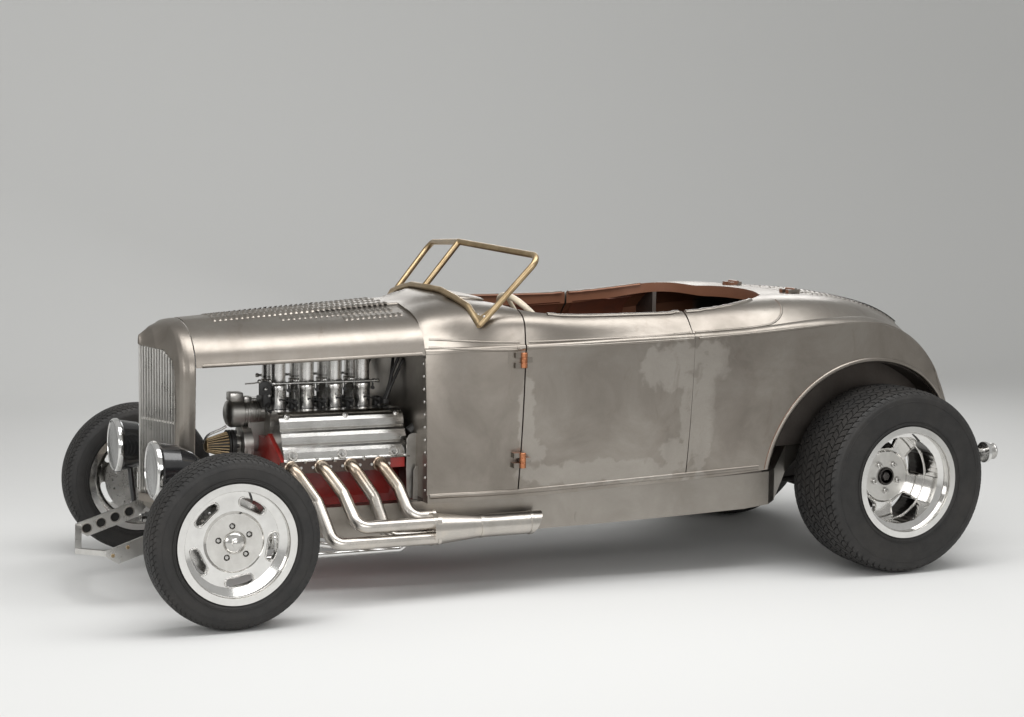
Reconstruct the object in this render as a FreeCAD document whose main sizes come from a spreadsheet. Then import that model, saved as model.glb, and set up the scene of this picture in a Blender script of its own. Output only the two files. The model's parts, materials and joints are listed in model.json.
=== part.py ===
import FreeCAD, Part
import math
import os
import re
import Sketcher
from FreeCAD import Placement, Rotation, Vector

# Street rod roadster on its four wheels, in millimetres.
# +X points forward, +Y to the left, +Z up, and the ground is at zero height.
# A station is a distance behind the front axle.

os.makedirs("parts", exist_ok=True)
doc = FreeCAD.newDocument("street_rod_roadster")
sheet = doc.addObject("Spreadsheet::Sheet", "sizes")

SIZES = {
    # stance
    "wheelbase": 2692, "front_reach": 393, "rear_reach": 671,
    "seat_clearance": 0.3, "panel_gap": 5, "cut_overrun": 60,
    # front wheels
    "front_tyre_radius": 300, "front_tyre_width": 160, "front_tread_width": 128,
    "front_bead_radius": 190, "front_lip_radius": 208, "front_lip_track": 767,
    "front_hub_track": 722, "front_rim_width": 140,
    # rear wheels
    "rear_tyre_radius": 365, "rear_tyre_width": 300, "rear_tread_width": 262,
    "rear_bead_radius": 203, "rear_lip_radius": 220, "rear_lip_track": 790,
    "rear_hub_track": 632, "rear_rim_width": 282,
    # what both wheel sizes share
    "shoulder_drop": 14, "wall_top_drop": 31, "sidewall_bulge": 6, "bead_foot": 12, "rim_wall": 6,
    "well_depth": 26, "disc_thickness": 16, "disc_back": 24, "hub_radius": 98, "hub_thickness": 36,
    "hub_foot_radius": 78, "barrel_count": 3, "rim_cut_length": 1130, "grille_run": 24,
    "front_window_inner": 120, "front_window_outer": 154, "front_window_half": 47,
    "rear_window_inner": 112, "rear_window_outer": 172, "rear_window_half": 56,
    "well_start": 42, "well_slope": 10, "window_count": 5,
    "lug_circle_radius": 57, "bore_radius": 17, "lug_hole_radius": 11,
    # body shell
    "body_station": 804, "body_length": 2494, "body_half_width": 625, "cowl_height": 1090,
    "body_wall": 45, "bead_height": 22, "bead_proud": 7, "side_belly": 9,
    "arch_station": 2628, "arch_height": 366, "arch_radius": 460, "arch_inner_face": 458,
    "cockpit_front": 1078, "cockpit_rear": 2363, "cockpit_half_width": 520,
    "cockpit_depth": 225,
    # doors and deck lid
    "door_front": 1128, "door_rear": 1816, "door_bottom": 372, "door_rake": 30,
    "door_edge_lean": 15, "hinge_radius": 8, "hinge_length": 56, "hinge_standoff": 3,
    "hinge_low_height": 500, "hinge_high_height": 870, "hinge_reach": 34, "hinge_foot": 14,
    "hinge_sink": 10,
    "hinge_ahead": 2, "lid_front": 2480, "lid_half_width": 385, "lid_taper_station": 2760,
    "lid_tail_half_width": 285, "lid_bottom": 600, "lid_gap": 6,
    "lid_barrel_radius": 7, "lid_barrel_length": 70, "lid_barrel_offset": 230,
    # hood and grille shell
    "shell_back": -8, "shell_edge": -73, "nose_station": -158, "shell_half_width": 258,
    "shell_top": 1001, "shell_bottom": 330, "shell_wall": 8, "nose_top": 942,
    "hood_front_edge": 842, "hood_rear_edge": 882, "hood_rear_half_width": 424,
    "hood_rear_top": 1056, "hood_wall": 6,
    "opening_half_width": 208, "opening_top": 905, "opening_bottom": 362,
    "bar_pitch": 15, "bar_width": 4, "bar_depth": 16, "centre_bar_width": 12,
    "bar_setback": 4, "strip_setback": 8, "strip_depth": 8,
    "radiator_half_width": 195, "radiator_depth": 52, "radiator_top": 850,
    "radiator_station": 4,
    # windscreen
    "screen_base_station": 961, "screen_top_station": 1105, "screen_top_height": 1275,
    "screen_foot_station": 984, "screen_foot_height": 994, "screen_foot_track": 498,
    "screen_corner_station": 1205, "screen_corner_height": 1247, "screen_corner_track": 543,
    "screen_tube_radius": 12, "screen_bend": 40, "screen_web_thickness": 16,
    # frame
    "rail_height": 138, "rail_flange": 60, "rail_thickness": 6, "rail_top_front": 303.5,
    "rail_track": 540, "rail_rake": 0.042, "kick_rise": 190, "rail_front": -60, "rail_rear": 3060,
    "crossmember_radius": 32, "crossmember_depth": 60, "middle_station": 1420,
    "link_station": 1900, "rear_cross_station": 2780, "end_cross_inset": 64,
    "mount_station": 470, "mount_radius": 22, "mount_height": 290,
    "horn_thickness": 10, "horn_height": 64, "horn_tip_station": -338, "horn_tip_height": 205,
    "horn_tip_depth": 20, "horn_tip_cut": 44, "horn_skin": 3,
    "horn_root_station": -100, "horn_root_height": 284, "horn_strap_station": -24,
    "horn_strap_height": 30, "horn_hole_radius": 18, "horn_hole_pitch": 54,
    "horn_hole_start": 34, "horn_hole_count": 4, "spreader_height": 20,
    "spreader_width": 24, "spreader_low": 147,
    # front axle and steering
    "axle_radius": 24, "axle_drop": 100, "axle_drop_track": 340, "axle_end_track": 565,
    "axle_rise_track": 500, "axle_bend": 60,
    "kingpin_track": 578, "kingpin_radius": 11, "kingpin_boss_radius": 21,
    "kingpin_boss_height": 64, "knuckle_radius": 23, "knuckle_ear": 18, "spindle_radius": 17,
    "knuckle_gap": 5, "spindle_setback": 6,
    "arm_length": 140, "arm_radius": 11, "arm_thickness": 14, "arm_drop": 74,
    "tie_rod_radius": 11, "tie_stud_radius": 7, "tie_ball_radius": 14,
    "pin_clearance": 0.5, "rotor_radius": 142, "rotor_thickness": 10, "rotor_track": 642,
    "rotor_hole_radius": 5, "rotor_hole_circle": 112, "rotor_hole_count": 20,
    "rotor_hub_radius": 69, "caliper_length": 90, "caliper_width": 42, "caliper_height": 46,
    "caliper_proud": 14, "bracket_thickness": 14,
    "leaf_station": -52, "leaf_thickness": 8, "leaf_crown": 236, "leaf_end": 211.3,
    "leaf_half_length": 320, "leaf_width": 45, "perch_track": 300,
    "radius_rod_radius": 11, "radius_rod_track": 418, "radius_rod_end": 771,
    "radius_rod_bend": 712, "radius_rod_low": 168, "radius_rod_high": 276,
    "radius_rod_end_height": 212, "radius_rod_back": 160, "bracket_low": 156,
    "bracket_high": 290,
    # rear axle
    "rear_tube_radius": 38, "rear_tube_end": 470, "diff_radius": 135, "diff_half_width": 95,
    "drum_radius": 140, "drum_depth": 72, "drum_hub_radius": 78, "plate_thickness": 6,
    "shock_radius": 30, "shock_track": 350, "shock_foot_drop": 40,
    "shock_foot_radius": 20, "pinion_radius": 49, "pinion_reach": 216, "shaft_radius": 36,
    "rear_rod_track": 304, "rear_rod_height": 335,
    # engine
    "engine_front": 290, "engine_rear": 762, "crank_height": 372, "block_half_width": 165,
    "skirt_low": 332, "skirt_high": 432, "pan_bottom": 200, "pan_half_width": 120,
    "gearbox_length": 556, "gearbox_radius": 130, "gearbox_end_radius": 74,
    "gearbox_height": 360, "gearbox_drop_share": 0.018,
    "port_station": 322, "port_pitch": 113, "port_height": 476, "port_track": 335,
    "port_face_half": 18, "valley_height": 556, "valley_half_width": 108,
    "cover_seat_height": 578, "cover_foot_height": 500, "cover_brow_height": 660,
    "cover_brow_track": 248, "cover_high": 668, "cover_top_outer": 234, "cover_top_inner": 180,
    "cover_inner_track": 150, "cover_inner_height": 642, "cover_flute_depth": 7,
    "cover_inset": 8, "cover_lip": 3, "cover_rear": 778,
    "stack_radius": 27, "stack_wall": 3, "stack_track": 92, "stack_base": 640, "stack_top": 880,
    "stack_station": 346, "stack_pitch": 110, "stack_count": 4, "bank_offset": 20, "stack_flare": 8,
    "stack_flare_height": 24, "stack_floor": 80,
    "manifold_half_width": 128, "manifold_foot_half": 104, "manifold_shoulder": 620,
    "manifold_front": 312, "manifold_rear": 748,
    "pulley_radius": 82, "pulley_width": 34, "pump_pulley_radius": 70, "nose_radius": 30,
    "drive_gap": 30, "pump_rise": 150, "pump_nose": 140, "belt_width": 14,
    "belt_half": 70, "magneto_radius": 45, "magneto_front": 190, "magneto_height": 640,
    "magneto_cap_radius": 54, "magneto_cap_length": 40, "magneto_foot_half": 30,
    # exhaust
    "primary_radius": 23, "primary_bend": 46, "header_outer_track": 548,
    "header_inner_track": 494, "header_low": 228, "header_high": 284, "header_crest": 298,
    "slip_station": 812,
    "collector_station": 985, "collector_radius": 42, "collector_height": 256,
    "collector_track": 521, "tip_station": 1232, "tip_slash": 40, "cluster_radius": 60,
    "flange_height": 44, "flange_thickness": 9, "flange_reach": 42, "collector_throat": 20,
    # lamps
    "lamp_radius": 102, "lamp_station": -180, "lamp_track": 307, "lamp_height": 491,
    "lamp_depth": 195, "lamp_stand_radius": 11, "lamp_boss_radius": 18,
    "lamp_boss_length": 20, "lamp_stand_station": -110, "lamp_stand_height": 262,
    "lamp_reach_station": -120, "lamp_reach_height": 410,
    "tail_lamp_radius": 34, "tail_lamp_depth": 60, "tail_lamp_track": 442,
    "tail_lamp_height": 405, "tail_stand_radius": 9, "tail_stand_run": 34,
    # cabin
    "floor_thickness": 12, "trunk_floor_height": 592, "riser_station": 2205,
    "dash_thickness": 14, "dash_bottom": 925,
    "tub_wall": 6, "tub_foot": 482, "tub_lip": 22,
    "tunnel_half_width": 160, "tunnel_top": 535, "tunnel_wall": 6, "tunnel_foot": 300,
    "tunnel_shaft_station": 1340, "tunnel_shaft_half_width": 105, "tunnel_shaft_top": 470,
    "tunnel_tail_half_width": 75, "tunnel_tail_top": 445,
    "seat_front": 1870, "seat_half_width": 452, "cushion_front_top": 590,
    "cushion_rear_top": 560, "seat_back_station": 2075, "seat_back_top_station": 2150,
    "seat_back_top": 900,
    "grip_circle_radius": 190, "grip_radius": 12, "grip_station": 1290,
    "grip_track": 290, "grip_height": 930, "column_angle": 35, "column_radius": 20,
    "column_end_station": 792, "grip_hub_radius": 34, "grip_hub_depth": 40, "spoke_radius": 8,
    "spoke_count": 3, "hanger_half_width": 15,
}

for row, (name, number) in enumerate(SIZES.items(), 1):
    sheet.set("A%d" % row, name)
    sheet.set("B%d" % row, str(number))
    sheet.setAlias("B%d" % row, name)
doc.recompute()


class Driving:
    """Reads a driving dimension from the sheet by its alias."""

    def __getattr__(self, name):
        return float(sheet.get(name))


d = Driving()
solids = {}

length = d.wheelbase + d.front_reach + d.rear_reach
front_axle_x = length / 2 - d.front_reach


def at(station, track, height):
    """Point at a station behind the front axle."""
    return Vector(front_axle_x - station, track, height)


def linked(text):
    """Puts the sheet's name before each alias in an expression."""
    def prefix(match):
        word = match.group(0)
        return "sizes." + word if word in SIZES else word
    return re.sub(r"[A-Za-z_][A-Za-z_0-9]*", prefix, text)


def worked_out(text):
    return float(sheet.evalExpression(linked(text)))


def origin_plane(body, role):
    return [item for item in body.Origin.OriginFeatures if item.Role == role][0]


def outline_sketch(body, label, plane, points):
    """Closed outline whose corners are bound to the sheet, two expressions a corner."""
    sketch = body.newObject("Sketcher::SketchObject", label)
    sketch.AttachmentSupport = [(origin_plane(body, plane), "")]
    sketch.MapMode = "FlatFace"
    places = [(worked_out(across), worked_out(up)) for across, up in points]
    count = len(places)
    for index in range(count):
        start = Vector(*places[index], 0)
        end = Vector(*places[(index + 1) % count], 0)
        sketch.addGeometry(Part.LineSegment(start, end), False)
    for index in range(count):
        sketch.addConstraint(Sketcher.Constraint("Coincident", index, 2, (index + 1) % count, 1))
    for index, (across, up) in enumerate(points):
        for kind, text, place in (("DistanceX", across, places[index][0]),
                                  ("DistanceY", up, places[index][1])):
            number = sketch.addConstraint(Sketcher.Constraint(kind, -1, 1, index, 1, place))
            sketch.renameConstraint(number, "%s%d" % (kind, index))
            sketch.setExpression("Constraints.%s%d" % (kind, index), linked(text))
    return sketch


def circle_sketch(body, label, plane, across, up, radius):
    """One circle bound to the sheet."""
    sketch = body.newObject("Sketcher::SketchObject", label)
    sketch.AttachmentSupport = [(origin_plane(body, plane), "")]
    sketch.MapMode = "FlatFace"
    centre = Vector(worked_out(across), worked_out(up), 0)
    sketch.addGeometry(Part.Circle(centre, Vector(0, 0, 1), worked_out(radius)), False)
    wanted = (("DistanceX", across, centre.x), ("DistanceY", up, centre.y))
    for kind, text, place in wanted:
        number = sketch.addConstraint(Sketcher.Constraint(kind, -1, 1, 0, 3, place))
        sketch.renameConstraint(number, kind)
        sketch.setExpression("Constraints." + kind, linked(text))
    number = sketch.addConstraint(Sketcher.Constraint("Radius", 0, worked_out(radius)))
    sketch.renameConstraint(number, "Round")
    sketch.setExpression("Constraints.Round", linked(radius))
    return sketch


def revolved(body, label, points):
    """Solid of revolution about the body's Y axis from an outline in its YZ plane."""
    sketch = outline_sketch(body, label + "_outline", "YZ_Plane", points)
    turn = body.newObject("PartDesign::Revolution", label)
    turn.Profile = sketch
    turn.ReferenceAxis = (sketch, ["H_Axis"])
    turn.Angle = 360
    return turn


def keep(label, shape, placement=None):
    """Stores a finished shape as a feature of the document under its own label."""
    feature = doc.addObject("Part::Feature", label)
    feature.Label = label
    feature.Shape = shape
    if placement is not None:
        feature.Placement = placement
    solids[label] = feature
    return feature


def mirrored(shape):
    return shape.mirror(Vector(0, 0, 0), Vector(0, 1, 0))


def pair(label, shape):
    """Left piece and its mirror image on the right."""
    keep(label + "_left", shape)
    keep(label + "_right", mirrored(shape))


def rod(start, end, radius):
    """Round bar from one point to another."""
    run = end - start
    return Part.makeCylinder(radius, run.Length, start, run)


def block(station_front, station_rear, track_low, track_high, bottom, top):
    """Upright box between two stations."""
    corner = at(station_rear, track_low, bottom)
    return Part.makeBox(station_rear - station_front, track_high - track_low, top - bottom, corner)


def bent_path(points, radius):
    """Straight runs joined by tangent arcs of one radius."""
    edges = []
    start = points[0]
    for before, corner, after in zip(points, points[1:], points[2:]):
        inward = (before - corner).normalize()
        outward = (after - corner).normalize()
        half_turn = (math.pi - inward.getAngle(outward)) / 2
        tangent = radius * math.tan(half_turn)
        enter = corner + inward * tangent
        leave = corner + outward * tangent
        bisector = (inward + outward).normalize()
        middle = corner + bisector * (radius / math.cos(half_turn) - radius)
        edges.append(Part.LineSegment(start, enter).toShape())
        edges.append(Part.Arc(enter, middle, leave).toShape())
        start = leave
    edges.append(Part.LineSegment(start, points[-1]).toShape())
    return Part.Wire(edges)


def swept(points, bend, radius):
    """Round bar bent along a path."""
    path = bent_path(points, bend)
    direction = points[1] - points[0]
    ring = Part.Wire(Part.makeCircle(radius, points[0], direction))
    return path.makePipeShell([ring], True, False)


def ring_of(points):
    """Closed flat polygon as a wire."""
    return Part.makePolygon(points + [points[0]])


def side_prism(outline, track_low, track_high):
    """Solid from an outline of station and height, from one track to another."""
    face = Part.Face(ring_of([at(station, track_low, height) for station, height in outline]))
    return face.extrude(Vector(0, track_high - track_low, 0))


def plan_prism(outline, bottom, top):
    """Solid from an outline of station and track, from one height to another."""
    face = Part.Face(ring_of([at(station, track, bottom) for station, track in outline]))
    return face.extrude(Vector(0, 0, top - bottom))


def front_prism(outline, station_front, station_rear):
    """Solid from an outline of track and height, from one station to another."""
    face = Part.Face(ring_of([at(station_rear, track, height) for track, height in outline]))
    return face.extrude(Vector(station_rear - station_front, 0, 0))


# Body shell

# Each row: place along the body, then sill, belt and shoulder as width and height, then the crown.
# Widths are shares of the half width and heights are shares of the cowl height.
body_shares = [
    (0.000, 0.730, 0.310, 0.680, 0.811, 0.542, 0.915, 0.969),
    (0.063, 0.795, 0.317, 0.800, 0.820, 0.690, 0.930, 1.000),
    (0.132, 0.856, 0.327, 0.905, 0.830, 0.862, 0.926, 0.985),
    (0.217, 0.885, 0.336, 0.948, 0.838, 0.885, 0.922, 0.952),
    (0.303, 0.900, 0.345, 0.966, 0.847, 0.875, 0.927, 0.950),
    (0.410, 0.920, 0.356, 0.984, 0.856, 0.862, 0.936, 0.958),
    (0.505, 0.936, 0.371, 0.996, 0.868, 0.848, 0.952, 0.972),
    (0.585, 0.944, 0.385, 1.000, 0.886, 0.832, 0.966, 0.985),
    (0.680, 0.944, 0.400, 1.000, 0.899, 0.800, 0.962, 0.986),
    (0.745, 0.940, 0.410, 0.992, 0.889, 0.740, 0.940, 0.975),
    (0.784, 0.935, 0.415, 0.984, 0.860, 0.700, 0.914, 0.960),
    (0.824, 0.925, 0.420, 0.966, 0.802, 0.670, 0.874, 0.940),
    (0.856, 0.905, 0.420, 0.935, 0.726, 0.650, 0.822, 0.916),
    (0.881, 0.880, 0.420, 0.900, 0.640, 0.620, 0.765, 0.890),
    (0.906, 0.825, 0.420, 0.840, 0.550, 0.570, 0.705, 0.858),
    (0.938, 0.680, 0.420, 0.695, 0.500, 0.490, 0.640, 0.798),
    (0.962, 0.550, 0.420, 0.560, 0.480, 0.410, 0.580, 0.734),
    (0.982, 0.450, 0.420, 0.455, 0.462, 0.330, 0.530, 0.642),
    (0.994, 0.370, 0.420, 0.372, 0.450, 0.270, 0.495, 0.551),
    (1.000, 0.280, 0.420, 0.282, 0.440, 0.200, 0.460, 0.490),
]
last_cavity_row = 16
brow_share = 0.7


def body_places(row):
    """Half section of the body: station, then sill, belt, shoulder and crown."""
    along, sill_w, sill_h, belt_w, belt_h, shoulder_w, shoulder_h, crown = row
    station = d.body_station + along * d.body_length
    wide = d.body_half_width
    tall = d.cowl_height
    sill = (sill_w * wide, sill_h * tall)
    belt = (belt_w * wide, belt_h * tall)
    shoulder = (shoulder_w * wide, shoulder_h * tall)
    return station, sill, belt, shoulder, crown * tall


def spline(places, station, side, start_flat=False, end_flat=False):
    curve = Part.BSplineCurve()
    points = [at(station, side * across, up) for across, up in places]
    if end_flat:
        begin = points[1] - points[0]
        curve.interpolate(Points=points, InitialTangent=begin.normalize(),
                          FinalTangent=Vector(0, -side, 0))
    else:
        curve.interpolate(Points=points)
    return curve.toShape()


haunch_share = 0.55
haunch_drop_share = 0.24


def haunch(shoulder, crown):
    """Point of the crown's curve between the shoulder and the middle."""
    return shoulder[0] * haunch_share, crown - (crown - shoulder[1]) * haunch_drop_share


def outer_section(row):
    """Closed outline of the body with its belt bead standing proud."""
    station, sill, belt, shoulder, crown = body_places(row)
    middle = ((sill[0] + belt[0]) / 2 + d.side_belly, (sill[1] + belt[1]) / 2)
    climb = min(d.bead_height, (shoulder[1] - belt[1]) / 2)
    lean = (belt[0] - shoulder[0]) * climb / (shoulder[1] - belt[1])
    bead_top = (belt[0] - lean, belt[1] + climb)
    bead_crest = (belt[0] - lean / 2 + d.bead_proud, belt[1] + climb / 2)
    halves = []
    for side in (1, -1):
        flank = spline([sill, middle, belt], station, side)
        points = [at(station, side * across, up) for across, up in (belt, bead_crest, bead_top)]
        bead = Part.Arc(*points).toShape()
        top = spline([bead_top, shoulder, haunch(shoulder, crown), (0, crown)], station, side,
                     end_flat=True)
        halves.append([flank, bead, top])
    floor_line = Part.LineSegment(at(station, -sill[0], sill[1]), at(station, sill[0], sill[1]))
    edges = [floor_line.toShape()] + halves[0] + halves[1][::-1]
    return Part.Wire(Part.__sortEdges__(edges))


def cavity_section(row, shift, wall, below):
    """Closed outline of the room inside the body, open below the sills."""
    station, sill, belt, shoulder, crown = body_places(row)
    station += shift
    foot = (sill[0] - wall, sill[1] - below)
    middle = ((sill[0] + belt[0]) / 2 + d.side_belly - wall, (sill[1] + belt[1]) / 2)
    waist = (belt[0] - wall, belt[1])
    brow = (shoulder[0] - wall * brow_share, shoulder[1] - wall * brow_share)
    edges = []
    for side in (1, -1):
        flank = spline([foot, middle, waist], station, side)
        top = spline([waist, brow, haunch(brow, crown - wall), (0, crown - wall)], station, side,
                     end_flat=True)
        edges += [flank, top]
    base = Part.LineSegment(at(station, -foot[0], foot[1]), at(station, foot[0], foot[1]))
    return Part.Wire(Part.__sortEdges__(edges + [base.toShape()]))


def body_cavity(wall, below):
    sections = [cavity_section(body_shares[0], -d.cut_overrun, wall, below)]
    for row in body_shares[:last_cavity_row + 1]:
        sections.append(cavity_section(row, 0, wall, below))
    return Part.makeLoft(sections, True, False)


outer_body = Part.makeLoft([outer_section(row) for row in body_shares], True, False)
cavity = body_cavity(d.body_wall, d.cut_overrun)
shell = outer_body.cut(cavity)

# Cockpit opening, as shares of the way from its front to its rear and of its half width
cockpit_shares = [(0.0, 0.0), (0.01, 0.62), (0.06, 0.93), (0.20, 1.0), (0.45, 1.0), (0.68, 0.975),
                  (0.84, 0.87), (0.95, 0.55)]
cockpit_run = d.cockpit_rear - d.cockpit_front
cockpit_half = [(d.cockpit_front + along * cockpit_run, across * d.cockpit_half_width)
                for along, across in cockpit_shares]
cockpit_loop = cockpit_half + [(d.cockpit_rear, 0)]
cockpit_loop += [(station, -across) for station, across in cockpit_half[:0:-1]]
cockpit_curve = Part.BSplineCurve()
cockpit_base = d.cowl_height - d.cockpit_depth
cockpit_curve.interpolate(Points=[at(station, across, cockpit_base)
                                  for station, across in cockpit_loop], PeriodicFlag=True)
cockpit_cut = Part.Face(Part.Wire(cockpit_curve.toShape())).extrude(Vector(0, 0, d.cowl_height))
shell = shell.cut(cockpit_cut)

# Wheel arches
arch_length = d.body_half_width
for side in (1, -1):
    start = at(d.arch_station, side * d.arch_inner_face, d.arch_height)
    shell = shell.cut(Part.makeCylinder(d.arch_radius, arch_length, start, Vector(0, side, 0)))


door_inner = d.body_half_width / 2
beyond = d.body_half_width + d.cut_overrun
above = d.cowl_height + d.cut_overrun
lean_end_share = 0.5
bevel_share = 0.085


def door_outline(track, inset, bevel):
    """Outline at one track: the rear edge runs forward inboard, so that the door can swing."""
    rear = d.door_rear - inset - bevel * (d.body_half_width - d.cut_overrun - track)
    corners = [(d.door_front + inset, d.door_bottom + inset),
               (rear, d.door_bottom + d.door_rake + inset),
               (rear + d.door_edge_lean * lean_end_share, above),
               (d.door_front + d.door_edge_lean + inset, above)]
    return ring_of([at(station, track, height) for station, height in corners])


def door_form(inset, bevel):
    """Solid through the body's side within the door's outline."""
    return Part.makeLoft([door_outline(track, inset, bevel) for track in (door_inner, beyond)],
                         True, True)


def body_side(station, height):
    """Outer track of the body at a station and height."""
    ray = Part.LineSegment(at(station, 0, height), at(station, beyond, height))
    return outer_body.common(ray.toShape()).BoundBox.YMax


def body_top(station, track):
    """Height of the body's top at a station and track."""
    ray = Part.LineSegment(at(station, track, 0), at(station, track, above))
    return outer_body.common(ray.toShape()).BoundBox.ZMax


def barrel(centre, way, size, radius):
    """Round barrel of a hinge about its middle."""
    return Part.makeCylinder(radius, size, centre - way * (size / 2), way)


def hinge_halves(centre, way, size, radius, plate):
    """Outer barrels with their pin and plates, and the bored middle barrel with its plate.

    plate gives the solid between the hinge and a panel, for a side of the axis and a stretch.
    """
    third = size / d.barrel_count
    short = third - d.seat_clearance
    pin_radius = radius / 2
    fixed = [barrel(centre, way, size, pin_radius)]
    for shift in (-third, third):
        middle = centre + way * shift
        fixed += [barrel(middle, way, short, radius), plate(-1, middle, short)]
    moving = barrel(centre, way, short, radius).fuse(plate(1, centre, short))
    bore = barrel(centre, way, size, pin_radius + d.pin_clearance / 2)
    return fixed[0].multiFuse(fixed[1:]), moving.cut(bore)


hinge_station = d.door_front + d.hinge_ahead
hinge_track = body_side(hinge_station, d.hinge_high_height) + d.hinge_standoff + d.hinge_radius


def door_hinge_plate(side, centre, stretch):
    """Strap from a door hinge's barrel to its foot on the panel, ahead of the axis or behind."""
    end = hinge_station + side * d.hinge_reach
    skin = body_side(end, centre.z)
    low = centre.z - stretch / 2
    high = centre.z + stretch / 2
    near, far = sorted((hinge_station, end))
    strap = block(near, far, skin + d.hinge_standoff, hinge_track, low, high)
    near, far = sorted((end - side * d.hinge_foot, end))
    return strap.fuse(block(near, far, skin - d.hinge_sink, hinge_track, low, high))


door = shell.common(door_form(d.panel_gap, bevel_share))
cowl_hinges = []
for height in (d.hinge_low_height, d.hinge_high_height):
    fixed, moving = hinge_halves(at(hinge_station, hinge_track, height), Vector(0, 0, 1),
                                 d.hinge_length, d.hinge_radius, door_hinge_plate)
    cowl_hinges.append(fixed)
    door = door.fuse(moving)
pair("door", door)

lid_end = d.body_station + d.body_length + d.cut_overrun
lid_axis_height = body_top(d.lid_front, 0) + d.hinge_standoff + d.lid_barrel_radius


def lid_form(inset):
    """Everything behind the lid's front line, between its sides and above its lower edge."""
    half = [(d.lid_front + inset, d.lid_half_width - inset),
            (d.lid_taper_station, d.lid_half_width - inset),
            (lid_end, d.lid_tail_half_width - inset)]
    outline = half + [(station, -track) for station, track in half[::-1]]
    return plan_prism(outline, d.lid_bottom + inset, above)


def lid_hinge_plate(side, centre, stretch):
    """Strap from a lid hinge's barrel to its foot on the panel, ahead of the axis or behind."""
    end = d.lid_front + side * d.hinge_reach
    skin = body_top(end, abs(centre.y))
    right = centre.y - stretch / 2
    left = centre.y + stretch / 2
    near, far = sorted((d.lid_front, end))
    strap = block(near, far, right, left, skin + d.hinge_standoff, lid_axis_height)
    near, far = sorted((end - side * d.hinge_foot, end))
    return strap.fuse(block(near, far, right, left, skin - d.hinge_sink, lid_axis_height))


lid = shell.common(lid_form(d.lid_gap))
lid_hinges = []
for side in (1, -1):
    centre = at(d.lid_front, side * d.lid_barrel_offset, lid_axis_height)
    fixed, moving = hinge_halves(centre, Vector(0, 1, 0), d.lid_barrel_length,
                                 d.lid_barrel_radius, lid_hinge_plate)
    lid_hinges.append(fixed)
    lid = lid.fuse(moving)
keep("deck_lid", lid)

opening = door_form(0, 0)
shell = shell.cut(opening).cut(mirrored(opening)).cut(lid_form(0))
cowl_zone = side_prism([(0, 0), (d.door_front, 0), (d.door_front, d.door_bottom),
                        (d.door_front + d.door_edge_lean, above), (0, above)], -beyond, beyond)
rear_body = shell.cut(cowl_zone)
keep("rear_body", rear_body.multiFuse(lid_hinges))

# Cabin floor with its tunnel and seat riser, firewall, dash and wheel tubs
body_bottom = body_shares[0][2] * d.cowl_height
body_end = d.body_station + d.body_length
cabin_room = body_cavity(d.body_wall + d.seat_clearance, d.cut_overrun)
riser_front = d.riser_station - d.floor_thickness
riser_low = body_bottom + d.rail_rake * (d.riser_station - d.body_station)
trunk_top = d.trunk_floor_height + d.floor_thickness
riser_foot = riser_low - d.rail_rake * d.floor_thickness
floor_outline = [(d.body_station, body_bottom), (d.riser_station, riser_low),
                 (d.riser_station, d.trunk_floor_height), (body_end, d.trunk_floor_height),
                 (body_end, trunk_top), (riser_front, trunk_top),
                 (riser_front, riser_foot + d.floor_thickness),
                 (d.body_station, body_bottom + d.floor_thickness)]
floor_slab = side_prism(floor_outline, -beyond, beyond)
over_floor = side_prism([(d.body_station, body_bottom), (d.riser_station, riser_low),
                         (d.riser_station, above), (d.body_station, above)], -beyond, beyond)

tunnel_shoulder_share = 0.55


def run_on(start, end, stretch):
    """Row that lies a stretch past the end, in line with the start."""
    share = stretch / abs(end[0] - start[0])
    return [b + (b - a) * share for a, b in zip(start, end)]


def tunnel_section(station, half_width, top, inset):
    """Chamfered arch of the tunnel over the gearbox and drive shaft."""
    out = half_width - inset
    high = top - inset
    shoulder = out * tunnel_shoulder_share
    half = [(out, d.tunnel_foot), (out, high - shoulder), (shoulder, high)]
    outline = half + [(-track, height) for track, height in half[::-1]]
    return ring_of([at(station, track, height) for track, height in outline])


def tunnel_form(inset, stretch):
    """Tunnel drawn in by an inset, and run on in its own line past both ends."""
    head = (d.body_station, d.tunnel_half_width, d.tunnel_top)
    middle = (d.tunnel_shaft_station, d.tunnel_shaft_half_width, d.tunnel_shaft_top)
    tail = (riser_front, d.tunnel_tail_half_width, d.tunnel_tail_top)
    rows = [run_on(middle, head, stretch), middle, run_on(middle, tail, stretch)]
    return Part.makeLoft([tunnel_section(*row, inset) for row in rows], True, True)


tunnel_hollow = tunnel_form(d.tunnel_wall, d.floor_thickness)
tunnel_skin = tunnel_form(0, 0).cut(tunnel_hollow).common(over_floor)
bulkhead = block(riser_front, d.riser_station, -beyond, beyond, d.trunk_floor_height, above)
floor_pan = floor_slab.cut(tunnel_hollow).fuse(bulkhead.cut(cockpit_cut)).common(cabin_room)


def tub_room(radius, inner):
    """Round room of both wheel arches, from an inner track outwards."""
    start = at(d.arch_station, inner, d.arch_height)
    room = Part.makeCylinder(radius, beyond - inner, start, Vector(0, 1, 0))
    return room.fuse(mirrored(room))


tub_radius = d.arch_radius - d.seat_clearance
floor_pan = floor_pan.fuse(tunnel_skin)
keep("floor", floor_pan.cut(tub_room(d.arch_radius, d.arch_inner_face)))

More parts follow.
